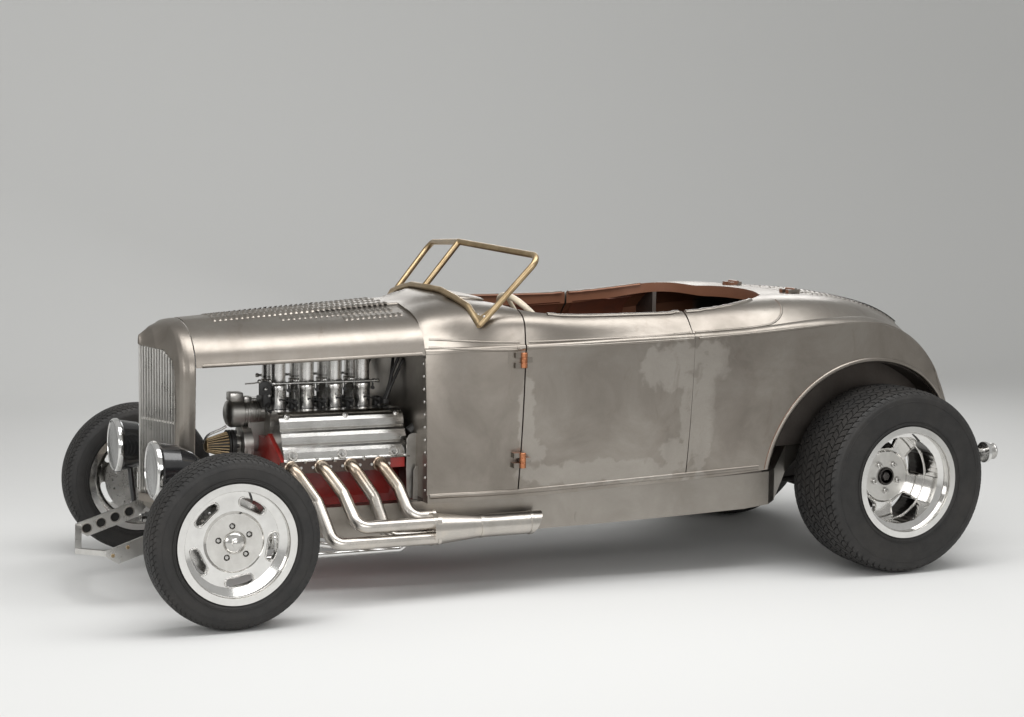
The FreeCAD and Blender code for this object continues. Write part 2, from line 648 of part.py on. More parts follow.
wall_slab = block(d.body_station, d.body_station + d.floor_thickness, -beyond, beyond,
                  body_bottom + (1 + d.rail_rake) * d.floor_thickness + d.seat_clearance, above)
column_lean = math.radians(d.column_angle)
column_way = Vector(math.cos(column_lean), 0, -math.sin(column_lean))
grip_centre = at(d.grip_station, d.grip_track, d.grip_height)
column_run = (d.grip_station - d.column_end_station) / math.cos(column_lean)
column_hole = Part.makeCylinder(d.column_radius + d.seat_clearance, column_run + d.cut_overrun,
                                grip_centre, column_way)
firewall = wall_slab.common(cabin_room).cut(tunnel_form(-d.seat_clearance, d.floor_thickness))
keep("firewall", firewall.cut(column_hole))

dash_rear = d.cockpit_front - d.panel_gap
dash_slab = block(dash_rear - d.dash_thickness, dash_rear, -beyond, beyond, d.dash_bottom, above)
dash = dash_slab.common(body_cavity(d.body_wall - d.seat_clearance, d.cut_overrun))
cowl = shell.common(cowl_zone).fuse(dash)
for fixed in cowl_hinges:
    cowl = cowl.fuse(fixed).fuse(mirrored(fixed))
keep("cowl", cowl)

tub_band = body_cavity(d.tub_lip, d.cut_overrun).common(
    block(d.body_station, body_end, -beyond, beyond, d.tub_foot, above))
tub = tub_room(tub_radius, d.arch_inner_face + d.seat_clearance)
tub = tub.cut(tub_room(tub_radius - d.tub_wall, d.arch_inner_face + d.tub_wall))
keep("wheel_tubs", tub.common(tub_band))

# Bench seat
cushion_low = body_bottom + d.rail_rake * (d.seat_front - d.body_station) + d.floor_thickness
seat_rear = riser_front - d.seat_clearance
cushion_rise = d.rail_rake * (seat_rear - d.seat_front)
seat_outline = [(d.seat_front, cushion_low), (d.seat_front, d.cushion_front_top),
                (d.seat_back_station, d.cushion_rear_top),
                (d.seat_back_top_station, d.seat_back_top), (seat_rear, d.seat_back_top),
                (seat_rear, cushion_low + cushion_rise)]
seat_lift = Vector(0, 0, d.seat_clearance)
seat = side_prism(seat_outline, -d.seat_half_width, d.seat_half_width).translated(seat_lift)
keep("seat", seat.cut(tunnel_form(-d.seat_clearance, d.floor_thickness)))

# Hood top and grille shell

# Across and down shares of the half width and of the drop from ridge to edge
hood_front_shares = [(0.30, 0.055), (0.56, 0.20), (0.79, 0.42), (0.93, 0.68), (1.0, 1.0)]
hood_rear_shares = [(0.31, 0.052), (0.56, 0.18), (0.80, 0.36), (0.93, 0.62), (1.0, 1.0)]
crown_share = 0.8


def hood_section(station, shares, half_width, top, edge, wall, below):
    """Closed arch section, lowered by the wall and run below the edge by an extra drop."""
    points = [(0, top - wall)]
    for across, down in shares:
        height = top - wall * crown_share - down * (top - edge)
        points.append((across * half_width - wall, height))
    points[-1] = (points[-1][0], edge)
    edges = [spline(points[::-1], station, side, end_flat=True) for side in (1, -1)]
    foot_left = at(station, points[-1][0], edge)
    foot_right = at(station, -points[-1][0], edge)
    corners = [foot_left, foot_right]
    if below > 0:
        drop = Vector(0, 0, below)
        corners = [foot_left, foot_left - drop, foot_right - drop, foot_right]
    for start, end in zip(corners, corners[1:]):
        edges.append(Part.LineSegment(start, end).toShape())
    return Part.Wire(Part.__sortEdges__(edges))


hood_rear = d.body_station - d.seat_clearance
hood_front = d.shell_back + d.seat_clearance


def between(start, end, share):
    return start + share * (end - start)


def hood_end(share, wall, below):
    """Section at a share of the way back, which may lie past either end."""
    shares = [(between(front[0], rear[0], share), between(front[1], rear[1], share))
              for front, rear in zip(hood_front_shares, hood_rear_shares)]
    return hood_section(between(hood_front, hood_rear, share), shares,
                        between(d.shell_half_width, d.hood_rear_half_width, share),
                        between(d.shell_top, d.hood_rear_top, share),
                        between(d.hood_front_edge, d.hood_rear_edge, share), wall, below)


def hood_form(wall, below, stretch):
    reach = stretch / (hood_rear - hood_front)
    return Part.makeLoft([hood_end(-reach, wall, below), hood_end(1 + reach, wall, below)], True, True)


keep("hood_top", hood_form(0, 0, 0).cut(hood_form(d.hood_wall, d.hood_wall, d.cut_overrun)))

# Half outline of the shell as shares of its half width and of its height above the bottom
shell_shares = [(0.84, 0.0), (0.90, 0.16), (0.97, 0.42), (1.0, 0.66), (1.0, 0.765), (0.93, 0.835),
                (0.79, 0.907), (0.56, 0.963), (0.30, 0.990), (0.0, 1.0)]
foot_share = 0.93
# Each row: share of the way from the back to the nose, half width, and share of the drop in height
shell_rows = [(0.0, 1.0, 0.0), (0.16, 0.99, 0.02), (0.28, 0.955, 0.06), (0.37, 0.895, 0.11),
              (0.433, 0.806, 0.17), (0.72, 0.425, 0.48), (1.0, 0.05, 1.0)]
edge_row = shell_rows[4]


def shell_section(station, half_width, bottom, top):
    edges = []
    for side in (1, -1):
        places = [(across * half_width, bottom + up * (top - bottom))
                  for across, up in shell_shares]
        edges.append(spline(places, station, side, end_flat=True))
    start = at(station, -shell_shares[0][0] * half_width, bottom)
    end = at(station, shell_shares[0][0] * half_width, bottom)
    edges.append(Part.LineSegment(start, end).toShape())
    return Part.Wire(Part.__sortEdges__(edges))


shell_face = d.shell_half_width * edge_row[1]


def grille_shell_form(inset, stretch):
    sections = []
    for number, (along, wide, drop) in enumerate(shell_rows):
        station = between(d.shell_back, d.nose_station, along) + (inset if number else stretch)
        half_width = max(d.shell_half_width * wide - inset, d.shell_wall / 2)
        sections.append(shell_section(station, half_width, d.shell_bottom + inset,
                                      between(d.shell_top, d.nose_top, drop) - inset))
    return Part.makeLoft(sections, True, True)


# Grille opening as shares of its half width and of its height above its bottom
opening_shares = [(0.86, 0.0), (0.94, 0.30), (1.0, 0.62), (0.99, 0.82), (0.90, 0.92), (0.62, 0.985),
                  (0.0, 1.0)]


def opening_outline(clearance):
    tall = d.opening_top - d.opening_bottom - clearance * 2
    half = [(across * (d.opening_half_width - clearance), d.opening_bottom + clearance + up * tall)
            for across, up in opening_shares]
    return half + [(-across, up) for across, up in half[-2::-1]]


grille_front = d.nose_station - d.cut_overrun
grille_back = d.shell_edge + d.grille_run
grille_hole = front_prism(opening_outline(0), grille_front, grille_back)
grille_shell = grille_shell_form(0, 0).cut(grille_shell_form(d.shell_wall, d.shell_wall))
keep("grille_shell", grille_shell.cut(grille_hole))

grille_room = front_prism(opening_outline(d.seat_clearance), grille_front, grille_back)
grille_slope = (d.shell_edge - d.nose_station) / shell_face
bars = []
bar_total = int(d.opening_half_width / d.bar_pitch)
for number in range(-bar_total, bar_total + 1):
    track = number * d.bar_pitch
    width = d.centre_bar_width if number == 0 else d.bar_width
    bar_front = d.nose_station + abs(track) * grille_slope + d.bar_setback
    bars.append(block(bar_front, bar_front + d.bar_depth, track - width / 2, track + width / 2,
                      d.opening_bottom, d.opening_top))
strip_shares = (0.02, 0.5)
for share in strip_shares:
    height = d.opening_bottom + share * (d.opening_top - d.opening_bottom)
    for side in (1, -1):
        start = d.nose_station + d.strip_setback
        end = start + grille_slope * shell_face
        strip = plan_prism([(start, 0), (start + d.strip_depth, 0),
                            (end + d.strip_depth, side * shell_face), (end, side * shell_face)],
                           height, height + d.strip_depth)
        bars.append(strip)
keep("grille_bars", bars[0].multiFuse(bars[1:]).common(grille_room))

radiator_low = d.shell_bottom + d.shell_wall + d.seat_clearance
keep("radiator", block(d.radiator_station - d.radiator_depth, d.radiator_station,
                       -d.radiator_half_width, d.radiator_half_width, radiator_low,
                       d.radiator_top))

# Windscreen frame
base_shares = [0.0, 0.30, 0.58, 0.80]
# Corners of the web that joins the base bar and the post, as shares of the way up each from the foot
web_bar_share = 0.9
web_post_share = 0.30
web_inner_share = 0.22


def cowl_point(share):
    """Point on the base bar's line at a share of the way out to the foot."""
    station = d.screen_base_station + share * (d.screen_foot_station - d.screen_base_station)
    track = share * d.screen_foot_track
    return station, track, body_top(station, track) + d.screen_tube_radius


screen_seat = outer_body.translated(Vector(0, 0, d.seat_clearance))
screen_parts = []
for side in (1, -1):
    base = [at(station, side * track, height)
            for station, track, height in [cowl_point(share) for share in base_shares]]
    foot = at(d.screen_foot_station, side * d.screen_foot_track, d.screen_foot_height)
    corner = at(d.screen_corner_station, side * d.screen_corner_track, d.screen_corner_height)
    screen_top = at(d.screen_top_station, 0, d.screen_top_height)
    screen_parts.append(swept([foot, corner, screen_top], d.screen_bend, d.screen_tube_radius))
    screen_parts.append(swept(base + [foot], d.screen_bend, d.screen_tube_radius))
    up_bar = (base[-1] - foot) * web_bar_share
    up_post = (corner - foot) * web_post_share
    web_inner = foot + (up_bar + up_post) * web_inner_share
    web_face = Part.Face(ring_of([foot, foot + up_bar, web_inner, foot + up_post]))
    web_way = up_bar.cross(up_post).normalize() * d.screen_web_thickness
    screen_parts.append(web_face.translated(-web_way / 2).extrude(web_way))
screen_parts.append(rod(base[0], screen_top, d.screen_tube_radius))
screen = screen_parts[0].multiFuse(screen_parts[1:])
keep("windscreen_frame", screen.cut(screen_seat))

# Frame

# Each row: share of the way along the rail, outer track as a share, depth as a share of the rail
# height, and how far the rail is up its kick over the rear axle.
rail_shares = [(0.0, 0.470, 0.30, 0.0), (0.05, 0.500, 0.34, 0.0), (0.083, 0.530, 0.46, 0.0),
               (0.18, 0.635, 0.90, 0.0), (0.277, 0.74, 1.0, 0.0), (0.382, 0.84, 1.0, 0.0),
               (0.5, 0.93, 1.0, 0.0), (0.605, 0.98, 1.0, 0.0), (0.692, 1.0, 1.0, 0.0),
               (0.727, 1.0, 0.95, 0.0), (0.738, 0.970, 0.92, 0.04), (0.768, 0.835, 0.78, 0.44),
               (0.800, 0.83, 0.66, 0.86),
               (0.875, 0.83, 0.64, 0.96), (0.95, 0.82, 0.60, 0.86), (1.0, 0.80, 0.50, 0.44)]


def rail_row(row):
    along, out, deep, kick = row
    station = d.rail_front + along * (d.rail_rear - d.rail_front)
    level = min(station, d.riser_station)
    top = d.rail_top_front + d.rail_rake * level + kick * d.kick_rise
    return station, out * d.rail_track, top, top - deep * d.rail_height


def rail_section(row):
    """Channel with its web outboard and its flanges inboard."""
    station, out, top, bottom = rail_row(row)
    inner = out - d.rail_flange
    wall = d.rail_thickness
    corners = [(out, top), (out, bottom), (inner, bottom), (inner, bottom + wall),
               (out - wall, bottom + wall), (out - wall, top - wall), (inner, top - wall),
               (inner, top)]
    return ring_of([at(station, track, height) for track, height in corners])


def rail_at(station):
    """Outer track, top and bottom of the rail at a station."""
    rows = [rail_row(row) for row in rail_shares]
    for low, high in zip(rows, rows[1:]):
        if low[0] <= station <= high[0]:
            share = (station - low[0]) / (high[0] - low[0])
            return [a + share * (b - a) for a, b in zip(low[1:], high[1:])]
    raise ValueError("station off the rail")


rail = Part.makeLoft([rail_section(row) for row in rail_shares], True, True)
frame_parts = [rail, mirrored(rail)]


def cross_tube(station, height):
    out = rail_at(station)[0] - d.rail_thickness / 2
    return rod(at(station, -out, height), at(station, out, height), d.crossmember_radius)


leaf_shares = [1.0, 0.8, 0.6, 0.4]
leaf_top = d.leaf_crown + len(leaf_shares) * d.leaf_thickness
front_out, front_top, front_low = rail_at(d.leaf_station)
front_web = front_out - d.rail_thickness / 2
shell_foot = shell_shares[0][0] * d.shell_half_width * foot_share
saddle = [(front_web, front_top), (front_web, leaf_top + d.seat_clearance)]
saddle = [(shell_foot, d.shell_bottom - d.seat_clearance)] + saddle
cross_outline = saddle + [(-track, height) for track, height in saddle[::-1]]
frame_parts.append(front_prism(cross_outline, d.leaf_station - d.crossmember_depth / 2,
                               d.leaf_station + d.crossmember_depth / 2))
for station in (d.middle_station, d.link_station):
    frame_parts.append(cross_tube(station, rail_at(station)[2] + d.crossmember_radius))
end_cross_station = d.rail_rear - d.end_cross_inset
for station in (d.rear_cross_station, end_cross_station):
    rear_out, rear_top, rear_low = rail_at(station)
    frame_parts.append(cross_tube(station, (rear_top + rear_low) / 2))
rear_out, rear_top, rear_low = rail_at(d.rear_cross_station)

# Engine block, which the frame's mounts meet
port_face = d.port_track - d.flange_thickness - d.seat_clearance
block_half = [(d.pan_half_width, d.pan_bottom), (d.block_half_width, d.skirt_low),
              (d.block_half_width, d.skirt_high), (port_face, d.port_height - d.port_face_half),
              (port_face, d.port_height + d.port_face_half),
              (d.cover_inner_track, d.cover_seat_height), (d.valley_half_width, d.valley_height)]
block_outline = block_half + [(-track, height) for track, height in block_half[::-1]]
engine = front_prism(block_outline, d.engine_front, d.engine_rear)
gearbox = Part.makeCone(d.gearbox_radius, d.gearbox_end_radius, d.gearbox_length,
                        at(d.engine_rear, 0, d.gearbox_height),
                        Vector(-1, 0, -d.gearbox_drop_share))
for side in (1, -1):
    out = rail_at(d.mount_station)[0] - d.rail_thickness / 2
    arm = rod(at(d.mount_station, side * out, d.mount_height),
              at(d.mount_station, 0, d.mount_height), d.mount_radius)
    frame_parts.append(arm.cut(engine.translated(Vector(0, side * d.seat_clearance, 0))))
keep("engine_block", engine.fuse(gearbox))
keep("frame", frame_parts[0].multiFuse(frame_parts[1:]))

# Drilled horns and the pointed spreader bar
horn_face = rail_at(d.horn_strap_station)[0] + d.seat_clearance + d.horn_thickness
horn_inner = horn_face - d.horn_thickness
horn_slope = (d.horn_tip_height - d.horn_root_height) / (d.horn_tip_station - d.horn_root_station)
horn_low_root = d.horn_root_height - d.horn_height
horn_low_tip = d.horn_tip_height + horn_slope * d.horn_tip_cut - d.horn_height
horn_end = d.horn_tip_height - d.horn_tip_depth
strap_top = rail_at(d.horn_strap_station)[1]
strap_low = strap_top - d.horn_strap_height
horn_outline = [(d.horn_root_station, d.horn_root_height), (d.horn_tip_station, d.horn_tip_height),
                (d.horn_tip_station, horn_end), (d.horn_tip_station + d.horn_tip_cut, horn_low_tip),
                (d.horn_root_station, horn_low_root),
                (d.rail_front, strap_low), (d.horn_strap_station, strap_low),
                (d.horn_strap_station, strap_top), (d.rail_front, strap_top)]
horn = side_prism(horn_outline, horn_inner, horn_face)
drilled_face = horn_face - d.horn_skin
for number in range(int(d.horn_hole_count)):
    station = d.horn_root_station - d.horn_hole_start - number * d.horn_hole_pitch
    top = d.horn_root_height + horn_slope * (station - d.horn_root_station)
    centre = at(station, 0, top - d.horn_height / 2)
    horn = horn.cut(Part.makeCylinder(d.horn_hole_radius, drilled_face, centre, Vector(0, 1, 0)))


def spreader_end(station, track, low):
    """Upright cross section of the spreader bar."""
    rear = station + d.spreader_width
    high = low + d.spreader_height
    return ring_of([at(station, track, low), at(rear, track, low), at(rear, track, high),
                    at(station, track, high)])


spreader = Part.makeLoft([spreader_end(-d.front_reach, 0, d.spreader_low),
                          spreader_end(d.horn_tip_station, horn_face, horn_end)], True, True)
keep("front_spreader", horn.multiFuse([mirrored(horn), spreader, mirrored(spreader)]))

# Front axle, spring and radius rods
axle_height = d.front_tyre_radius
low_height = axle_height - d.axle_drop
axle_half = [(d.axle_end_track, axle_height), (d.axle_rise_track, axle_height),
             (d.axle_drop_track, low_height)]
axle_line = [at(0, track, height) for track, height in axle_half]
axle_line += [at(0, -track, height) for track, height in axle_half[::-1]]
axle_parts = [swept(axle_line, d.axle_bend, d.axle_radius)]
boss_low = axle_height - d.kingpin_boss_height / 2
spring_rear = d.leaf_station + d.leaf_width / 2
for side in (1, -1):
    boss = at(0, side * d.kingpin_track, boss_low)
    axle_parts.append(Part.makeCylinder(d.kingpin_boss_radius, d.kingpin_boss_height, boss))
    perch_start = at(0, side * d.perch_track, low_height)
    perch_end = at(d.leaf_station - d.leaf_width / 2, side * d.perch_track, low_height)
    axle_parts.append(rod(perch_start, perch_end, d.arm_radius))
    bracket_track = side * d.radius_rod_track
    axle_parts.append(block(0, d.axle_radius + d.bracket_thickness,
                            bracket_track - d.radius_rod_radius,
                            bracket_track + d.radius_rod_radius, d.bracket_low, d.bracket_high))
axle = axle_parts[0].multiFuse(axle_parts[1:])
for side in (1, -1):
    hole = at(0, side * d.kingpin_track, 0)
    axle = axle.cut(Part.makeCylinder(d.kingpin_radius + d.pin_clearance, above, hole))
keep("front_axle", axle)

leaves = []
sag = (d.leaf_crown - d.leaf_end) / d.leaf_half_length ** 2


def leaf_point(share, level):
    track = share * d.leaf_half_length
    return at(spring_rear, track, d.leaf_crown + level - sag * track ** 2)


for number, share in enumerate(leaf_shares):
    low = number * d.leaf_thickness
    high = low + d.leaf_thickness
    under = Part.Arc(leaf_point(-share, low), leaf_point(0, low), leaf_point(share, low))
    over = Part.Arc(leaf_point(share, high), leaf_point(0, high), leaf_point(-share, high))
    ends = [Part.LineSegment(leaf_point(share, low), leaf_point(share, high)),
            Part.LineSegment(leaf_point(-share, high), leaf_point(-share, low))]
    outline = Part.Wire([under.toShape(), ends[0].toShape(), over.toShape(), ends[1].toShape()])
    leaves.append(Part.Face(outline).extrude(Vector(d.leaf_width, 0, 0)))
keep("front_spring", leaves[0].multiFuse(leaves[1:]))

rod_start_station = d.axle_radius + d.bracket_thickness + d.seat_clearance
rod_end = at(d.radius_rod_end, d.radius_rod_track, d.radius_rod_end_height)
rod_bend = at(d.radius_rod_bend, d.radius_rod_track, d.radius_rod_low)
rod_low = at(rod_start_station, d.radius_rod_track, d.radius_rod_low)
rod_high = at(rod_start_station, d.radius_rod_track, d.radius_rod_high)
rod_merge = at(d.radius_rod_bend - d.radius_rod_back, d.radius_rod_track,
               d.radius_rod_low + d.radius_rod_radius)
rail_side = rail_at(d.radius_rod_end)[0] + d.seat_clearance
rod_pivot = at(d.radius_rod_end, rail_side, d.radius_rod_end_height)
hairpin = swept([rod_low, rod_bend, rod_end], d.radius_rod_radius * 2, d.radius_rod_radius)
hairpin = hairpin.multiFuse([rod(rod_high, rod_merge, d.radius_rod_radius),
                             rod(rod_pivot, rod_end, d.radius_rod_radius)])
hairpin = hairpin.cut(block(0, rod_start_station, 0, beyond, 0, above))
hairpin = hairpin.cut(rail.translated(Vector(0, d.seat_clearance, 0)))
keep("radius_rods", Part.makeCompound([hairpin, mirrored(hairpin)]))

# Steering knuckles and tie rod
ear_gap = d.seat_clearance + d.pin_clearance
ear_high = axle_height + d.kingpin_boss_height / 2 + ear_gap
ear_low = boss_low - ear_gap - d.knuckle_ear
post_inner = d.kingpin_track + d.kingpin_boss_radius + d.knuckle_gap
post_outer = post_inner + d.knuckle_ear / 2
knuckle_parts = []
for low in (ear_high, ear_low):
    centre = at(0, d.kingpin_track, low)
    knuckle_parts.append(Part.makeCylinder(d.knuckle_radius, d.knuckle_ear, centre))
    knuckle_parts.append(block(-d.knuckle_radius, d.knuckle_radius, d.kingpin_track,
                               post_outer, low, low + d.knuckle_ear))
knuckle_parts.append(block(-d.knuckle_radius, d.knuckle_radius, post_inner, post_outer, ear_low,
                           ear_high + d.knuckle_ear))
knuckle_parts.append(Part.makeCylinder(d.kingpin_radius, ear_high - ear_low,
                                       at(0, d.kingpin_track, ear_low)))
knuckle_parts.append(rod(at(0, post_inner, axle_height),
                         at(0, d.front_hub_track - d.spindle_setback, axle_height),
                         d.spindle_radius))
arm_end = at(d.arm_length, d.kingpin_track, axle_height - d.arm_drop)
arm_middle = Vector(0, 0, d.arm_thickness / 2)
knuckle_parts.append(rod(at(0, d.kingpin_track, ear_low + d.knuckle_ear / 2),
                         arm_end + arm_middle, d.arm_radius))
knuckle_parts.append(Part.makeCylinder(d.tie_ball_radius, d.arm_thickness, arm_end))
caliper_track = d.rotor_track - d.caliper_width / 2
caliper_front = d.rotor_radius - d.caliper_height
caliper = block(caliper_front, d.rotor_radius + d.caliper_proud, caliper_track,
                caliper_track + d.caliper_width, axle_height - d.caliper_length / 2,
                axle_height + d.caliper_length / 2)
slot = Part.makeCylinder(d.rotor_radius + d.panel_gap, d.rotor_thickness + d.panel_gap * 2,
                         at(0, d.rotor_track - d.rotor_thickness / 2 - d.panel_gap, axle_height),
                         Vector(0, 1, 0))
bracket_half = d.caliper_height / 2
knuckle_parts.append(block(0, caliper_front + d.bracket_thickness, post_inner, post_outer,
                           axle_height - bracket_half, axle_height + bracket_half))
knuckle_parts.append(block(caliper_front, caliper_front + d.bracket_thickness, post_inner,
                           caliper_track + d.panel_gap, axle_height - bracket_half,
                           axle_height + bracket_half))
knuckle_parts.append(caliper.cut(slot))
knuckle = knuckle_parts[0].multiFuse(knuckle_parts[1:])
eye = Part.makeCylinder(d.tie_stud_radius + d.pin_clearance, d.arm_thickness * 2,
                        arm_end - arm_middle)
pair("knuckle", knuckle.cut(eye))

tie_height = arm_end.z - d.tie_rod_radius - d.arm_thickness / 2
tie_parts = [rod(at(d.arm_length, -d.kingpin_track, tie_height),
                 at(d.arm_length, d.kingpin_track, tie_height), d.tie_rod_radius)]
for side in (1, -1):
    joint = at(d.arm_length, side * d.kingpin_track, tie_height)
    tie_parts.append(rod(joint, joint + Vector(0, 0, arm_end.z + d.arm_thickness - tie_height),
                         d.tie_stud_radius))
    tie_parts.append(Part.makeCylinder(d.tie_ball_radius, d.tie_rod_radius * 2,
                                       joint - Vector(0, 0, d.tie_rod_radius)))
keep("tie_rod", tie_parts[0].multiFuse(tie_parts[1:]))

# Rear axle with its rods and drive shaft, and the shocks
rear = d.wheelbase
hub_level = d.rear_tyre_radius
diff_flat_share = 0.35
diff_flat = d.diff_half_width * diff_flat_share
differential = rod(at(rear, -diff_flat, hub_level), at(rear, diff_flat, hub_level), d.diff_radius)
rear_parts = [differential,
              rod(at(rear, -d.rear_tube_end, hub_level), at(rear, d.rear_tube_end, hub_level),
                  d.rear_tube_radius)]
pinion = at(rear - d.pinion_reach, 0, hub_level)
gearbox_run = Vector(-1, 0, -d.gearbox_drop_share).normalize() * d.gearbox_length
gearbox_end = at(d.engine_rear, 0, d.gearbox_height) + gearbox_run
rear_parts.append(rod(at(rear, 0, hub_level), pinion, d.pinion_radius))
shaft_way = (gearbox_end - pinion).normalize()
shaft_end = gearbox_end - shaft_way * (d.shaft_radius * d.gearbox_drop_share * 2 + d.seat_clearance)
rear_parts.append(rod(pinion, shaft_end, d.shaft_radius))
link_height = rail_at(d.link_station)[2] + d.crossmember_radius
link_rear = d.link_station + d.crossmember_radius + d.seat_clearance
for side in (1, -1):
    rear_parts.append(Part.makeCone(d.diff_radius, d.rear_tube_radius, d.diff_half_width - diff_flat,
                                    at(rear, side * diff_flat, hub_level), Vector(0, side, 0)))
    plate = at(rear, side * (d.rear_tube_end - d.plate_thickness), hub_level)
    rear_parts.append(Part.makeCylinder(d.drum_radius, d.plate_thickness, plate,
                                        Vector(0, side, 0)))
    rear_parts.append(rod(at(rear, side * d.rear_tube_end, hub_level),
                          at(rear, side * (d.rear_hub_track - d.spindle_setback), hub_level),
                          d.spindle_radius))
    rod_rear = at(rear, side * d.rear_rod_track, d.rear_rod_height)
    rod_front = at(link_rear, side * d.rear_rod_track, link_height)
    trim = block(0, link_rear, -beyond, beyond, 0, above)
    rear_parts.append(rod(rod_rear, rod_front, d.radius_rod_radius).cut(trim))
    shock_foot = at(d.rear_cross_station, side * d.shock_track, hub_level - d.shock_foot_drop)
    rear_parts.append(rod(at(rear, side * d.shock_track, hub_level), shock_foot,
                          d.shock_foot_radius))
rear_axle = rear_parts[0].multiFuse(rear_parts[1:])
keep("rear_axle", rear_axle)

shock_low = at(d.rear_cross_station, d.shock_track, hub_level - d.shock_foot_drop)
shock_high = at(d.rear_cross_station, d.shock_track,
                (rear_top + rear_low) / 2 - d.crossmember_radius - d.seat_clearance)
shock = rod(shock_low, shock_high, d.shock_radius)
foot_room = rod(at(rear, d.shock_track, hub_level), shock_low, d.shock_foot_radius + d.seat_clearance)
shock = shock.cut(foot_room).cut(block(rear, rear + beyond, 0, beyond, 0, shock_low.z))
keep("rear_shocks", Part.makeCompound([shock, mirrored(shock)]))

# Valve covers with three broad flutes along the outer slope
cover_edge = port_face - d.cover_lip
cover_foot = (cover_edge, d.cover_foot_height)
cover_brow = (d.cover_brow_track, d.cover_brow_height)
flute_count = 3
# Each band: share of the way across it, and how far it lies under the plain slope
band_shares = [(0.00, 1.00), (0.09, 0.10), (0.26, -0.45), (0.50, -0.65), (0.74, -0.45), (0.91, 0.10),
               (1.00, 1.00)]
slope = (cover_brow[0] - cover_foot[0], cover_brow[1] - cover_foot[1])
slope_long = math.hypot(*slope)
inward = (-slope[1] / slope_long * d.cover_flute_depth, slope[0] / slope_long * d.cover_flute_depth)
cover_outline = [cover_foot]
for number in range(flute_count):
    for band_share, deep in band_shares[1:]:
        share = (number + band_share) / flute_count
        cover_outline.append((cover_foot[0] + share * slope[0] + deep * inward[0],
                              cover_foot[1] + share * slope[1] + deep * inward[1]))
seat_share = (cover_edge - d.cover_inner_track) / (port_face - d.cover_inner_track)
head_edge = d.port_height + d.port_face_half
seat_edge = d.cover_seat_height + seat_share * (head_edge - d.cover_seat_height)
cover_outline += [cover_brow, (d.cover_top_outer, d.cover_high), (d.cover_top_inner, d.cover_high),
                  (d.cover_inner_track, d.cover_inner_height),
                  (d.cover_inner_track, d.cover_seat_height + d.seat_clearance),
                  (cover_edge, seat_edge + d.seat_clearance)]
cover = front_prism(cover_outline, d.engine_front + d.cover_inset, d.cover_rear)
keep("valve_covers", Part.makeCompound([cover, mirrored(cover)]))

# Intake manifold and its eight stacks
valley_top = d.valley_height + d.seat_clearance
manifold_half = [(d.manifold_foot_half, valley_top), (d.manifold_half_width, d.manifold_shoulder),
                 (d.manifold_half_width, d.stack_base)]
manifold_outline = manifold_half + [(-track, height) for track, height in manifold_half[::-1]]
intake_parts = [front_prism(manifold_outline, d.manifold_front, d.manifold_rear)]
bores = []
stack_long = d.stack_top - d.stack_base
for side, offset in ((1, 0), (-1, d.bank_offset)):
    for number in range(int(d.stack_count)):
        foot = at(d.stack_station + offset + number * d.stack_pitch, side * d.stack_track,
                  d.stack_base)
        top = foot + Vector(0, 0, stack_long)
        intake_parts.append(Part.makeCylinder(d.stack_radius, stack_long, foot))
        intake_parts.append(Part.makeCone(d.stack_radius, d.stack_radius + d.stack_flare,
                                          d.stack_flare_height, top))
        bores.append(Part.makeCylinder(d.stack_radius - d.stack_wall, above,
                                       foot + Vector(0, 0, d.stack_floor)))
intake = intake_parts[0].multiFuse(intake_parts[1:])
keep("intake", intake.cut(bores[0].multiFuse(bores[1:])))

# Pulleys, water pump, belt and magneto at the front of the engine
front = d.engine_front - d.seat_clearance
pump_height = d.crank_height + d.pump_rise
belt_rear = front - d.drive_gap
belt_front = belt_rear - d.pulley_width
forward = Vector(1, 0, 0)
drive_parts = [Part.makeCylinder(d.pulley_radius, d.pulley_width, at(belt_rear, 0, d.crank_height),
                                 forward),
               Part.makeCylinder(d.pump_pulley_radius, d.pulley_width, at(belt_rear, 0, pump_height),
                                 forward),
               rod(at(front, 0, d.crank_height), at(belt_front, 0, d.crank_height), d.nose_radius),
               rod(at(front, 0, pump_height), at(d.pump_nose, 0, pump_height), d.nose_radius)]
belt_edge = (d.pulley_width - d.belt_width) / 2
drive_parts.append(block(belt_front + belt_edge, belt_rear - belt_edge, -d.belt_half, d.belt_half,
                         d.crank_height, pump_height))
magneto_rear = d.manifold_front - d.seat_clearance
drive_parts.append(rod(at(magneto_rear, 0, d.magneto_height),
                       at(d.magneto_front, 0, d.magneto_height), d.magneto_radius))
drive_parts.append(rod(at(d.magneto_front + d.magneto_cap_length, 0, d.magneto_height),
                       at(d.magneto_front, 0, d.magneto_height), d.magneto_cap_radius))
drive_parts.append(block(front - d.magneto_cap_length, magneto_rear, -d.magneto_foot_half,
                         d.magneto_foot_half, valley_top, d.magneto_height))
drive_parts.append(block(front - d.magneto_cap_length, front, -d.magneto_foot_half,
                         d.magneto_foot_half, pump_height, valley_top))
keep("front_drive", drive_parts[0].multiFuse(drive_parts[1:]))

# Exhaust headers
turn_share = 0.14
first_drop_share = 0.25
first_back_share = 0.15
fall_share = 0.45
fall_out_share = 0.48
near_share = 0.26
far_share = 0.36
header_routes = []
for number, (track, level) in enumerate(((d.header_outer_track, d.header_low),
                                         (d.header_outer_track, d.header_high),
                                         (d.header_inner_track, d.header_low),
                                         (d.header_inner_track, d.header_crest))):
    port = d.port_station + number * d.port_pitch
    drop = d.port_height - level
    out = track - d.port_track
    header_routes.append([at(port, d.port_track, d.port_height),
                          at(port + d.primary_radius * first_back_share,
                             d.port_track + out * turn_share,
                             d.port_height - d.primary_radius * first_drop_share),
                          at(port + drop * near_share, d.port_track + out * fall_out_share,
                             d.port_height - drop * fall_share),
                          at(port + drop * far_share, track, level),
                          at(d.slip_station, track, level)])
header_parts = [swept(route, d.primary_bend, d.primary_radius) for route in header_routes]
last_port = header_routes[-1][0]
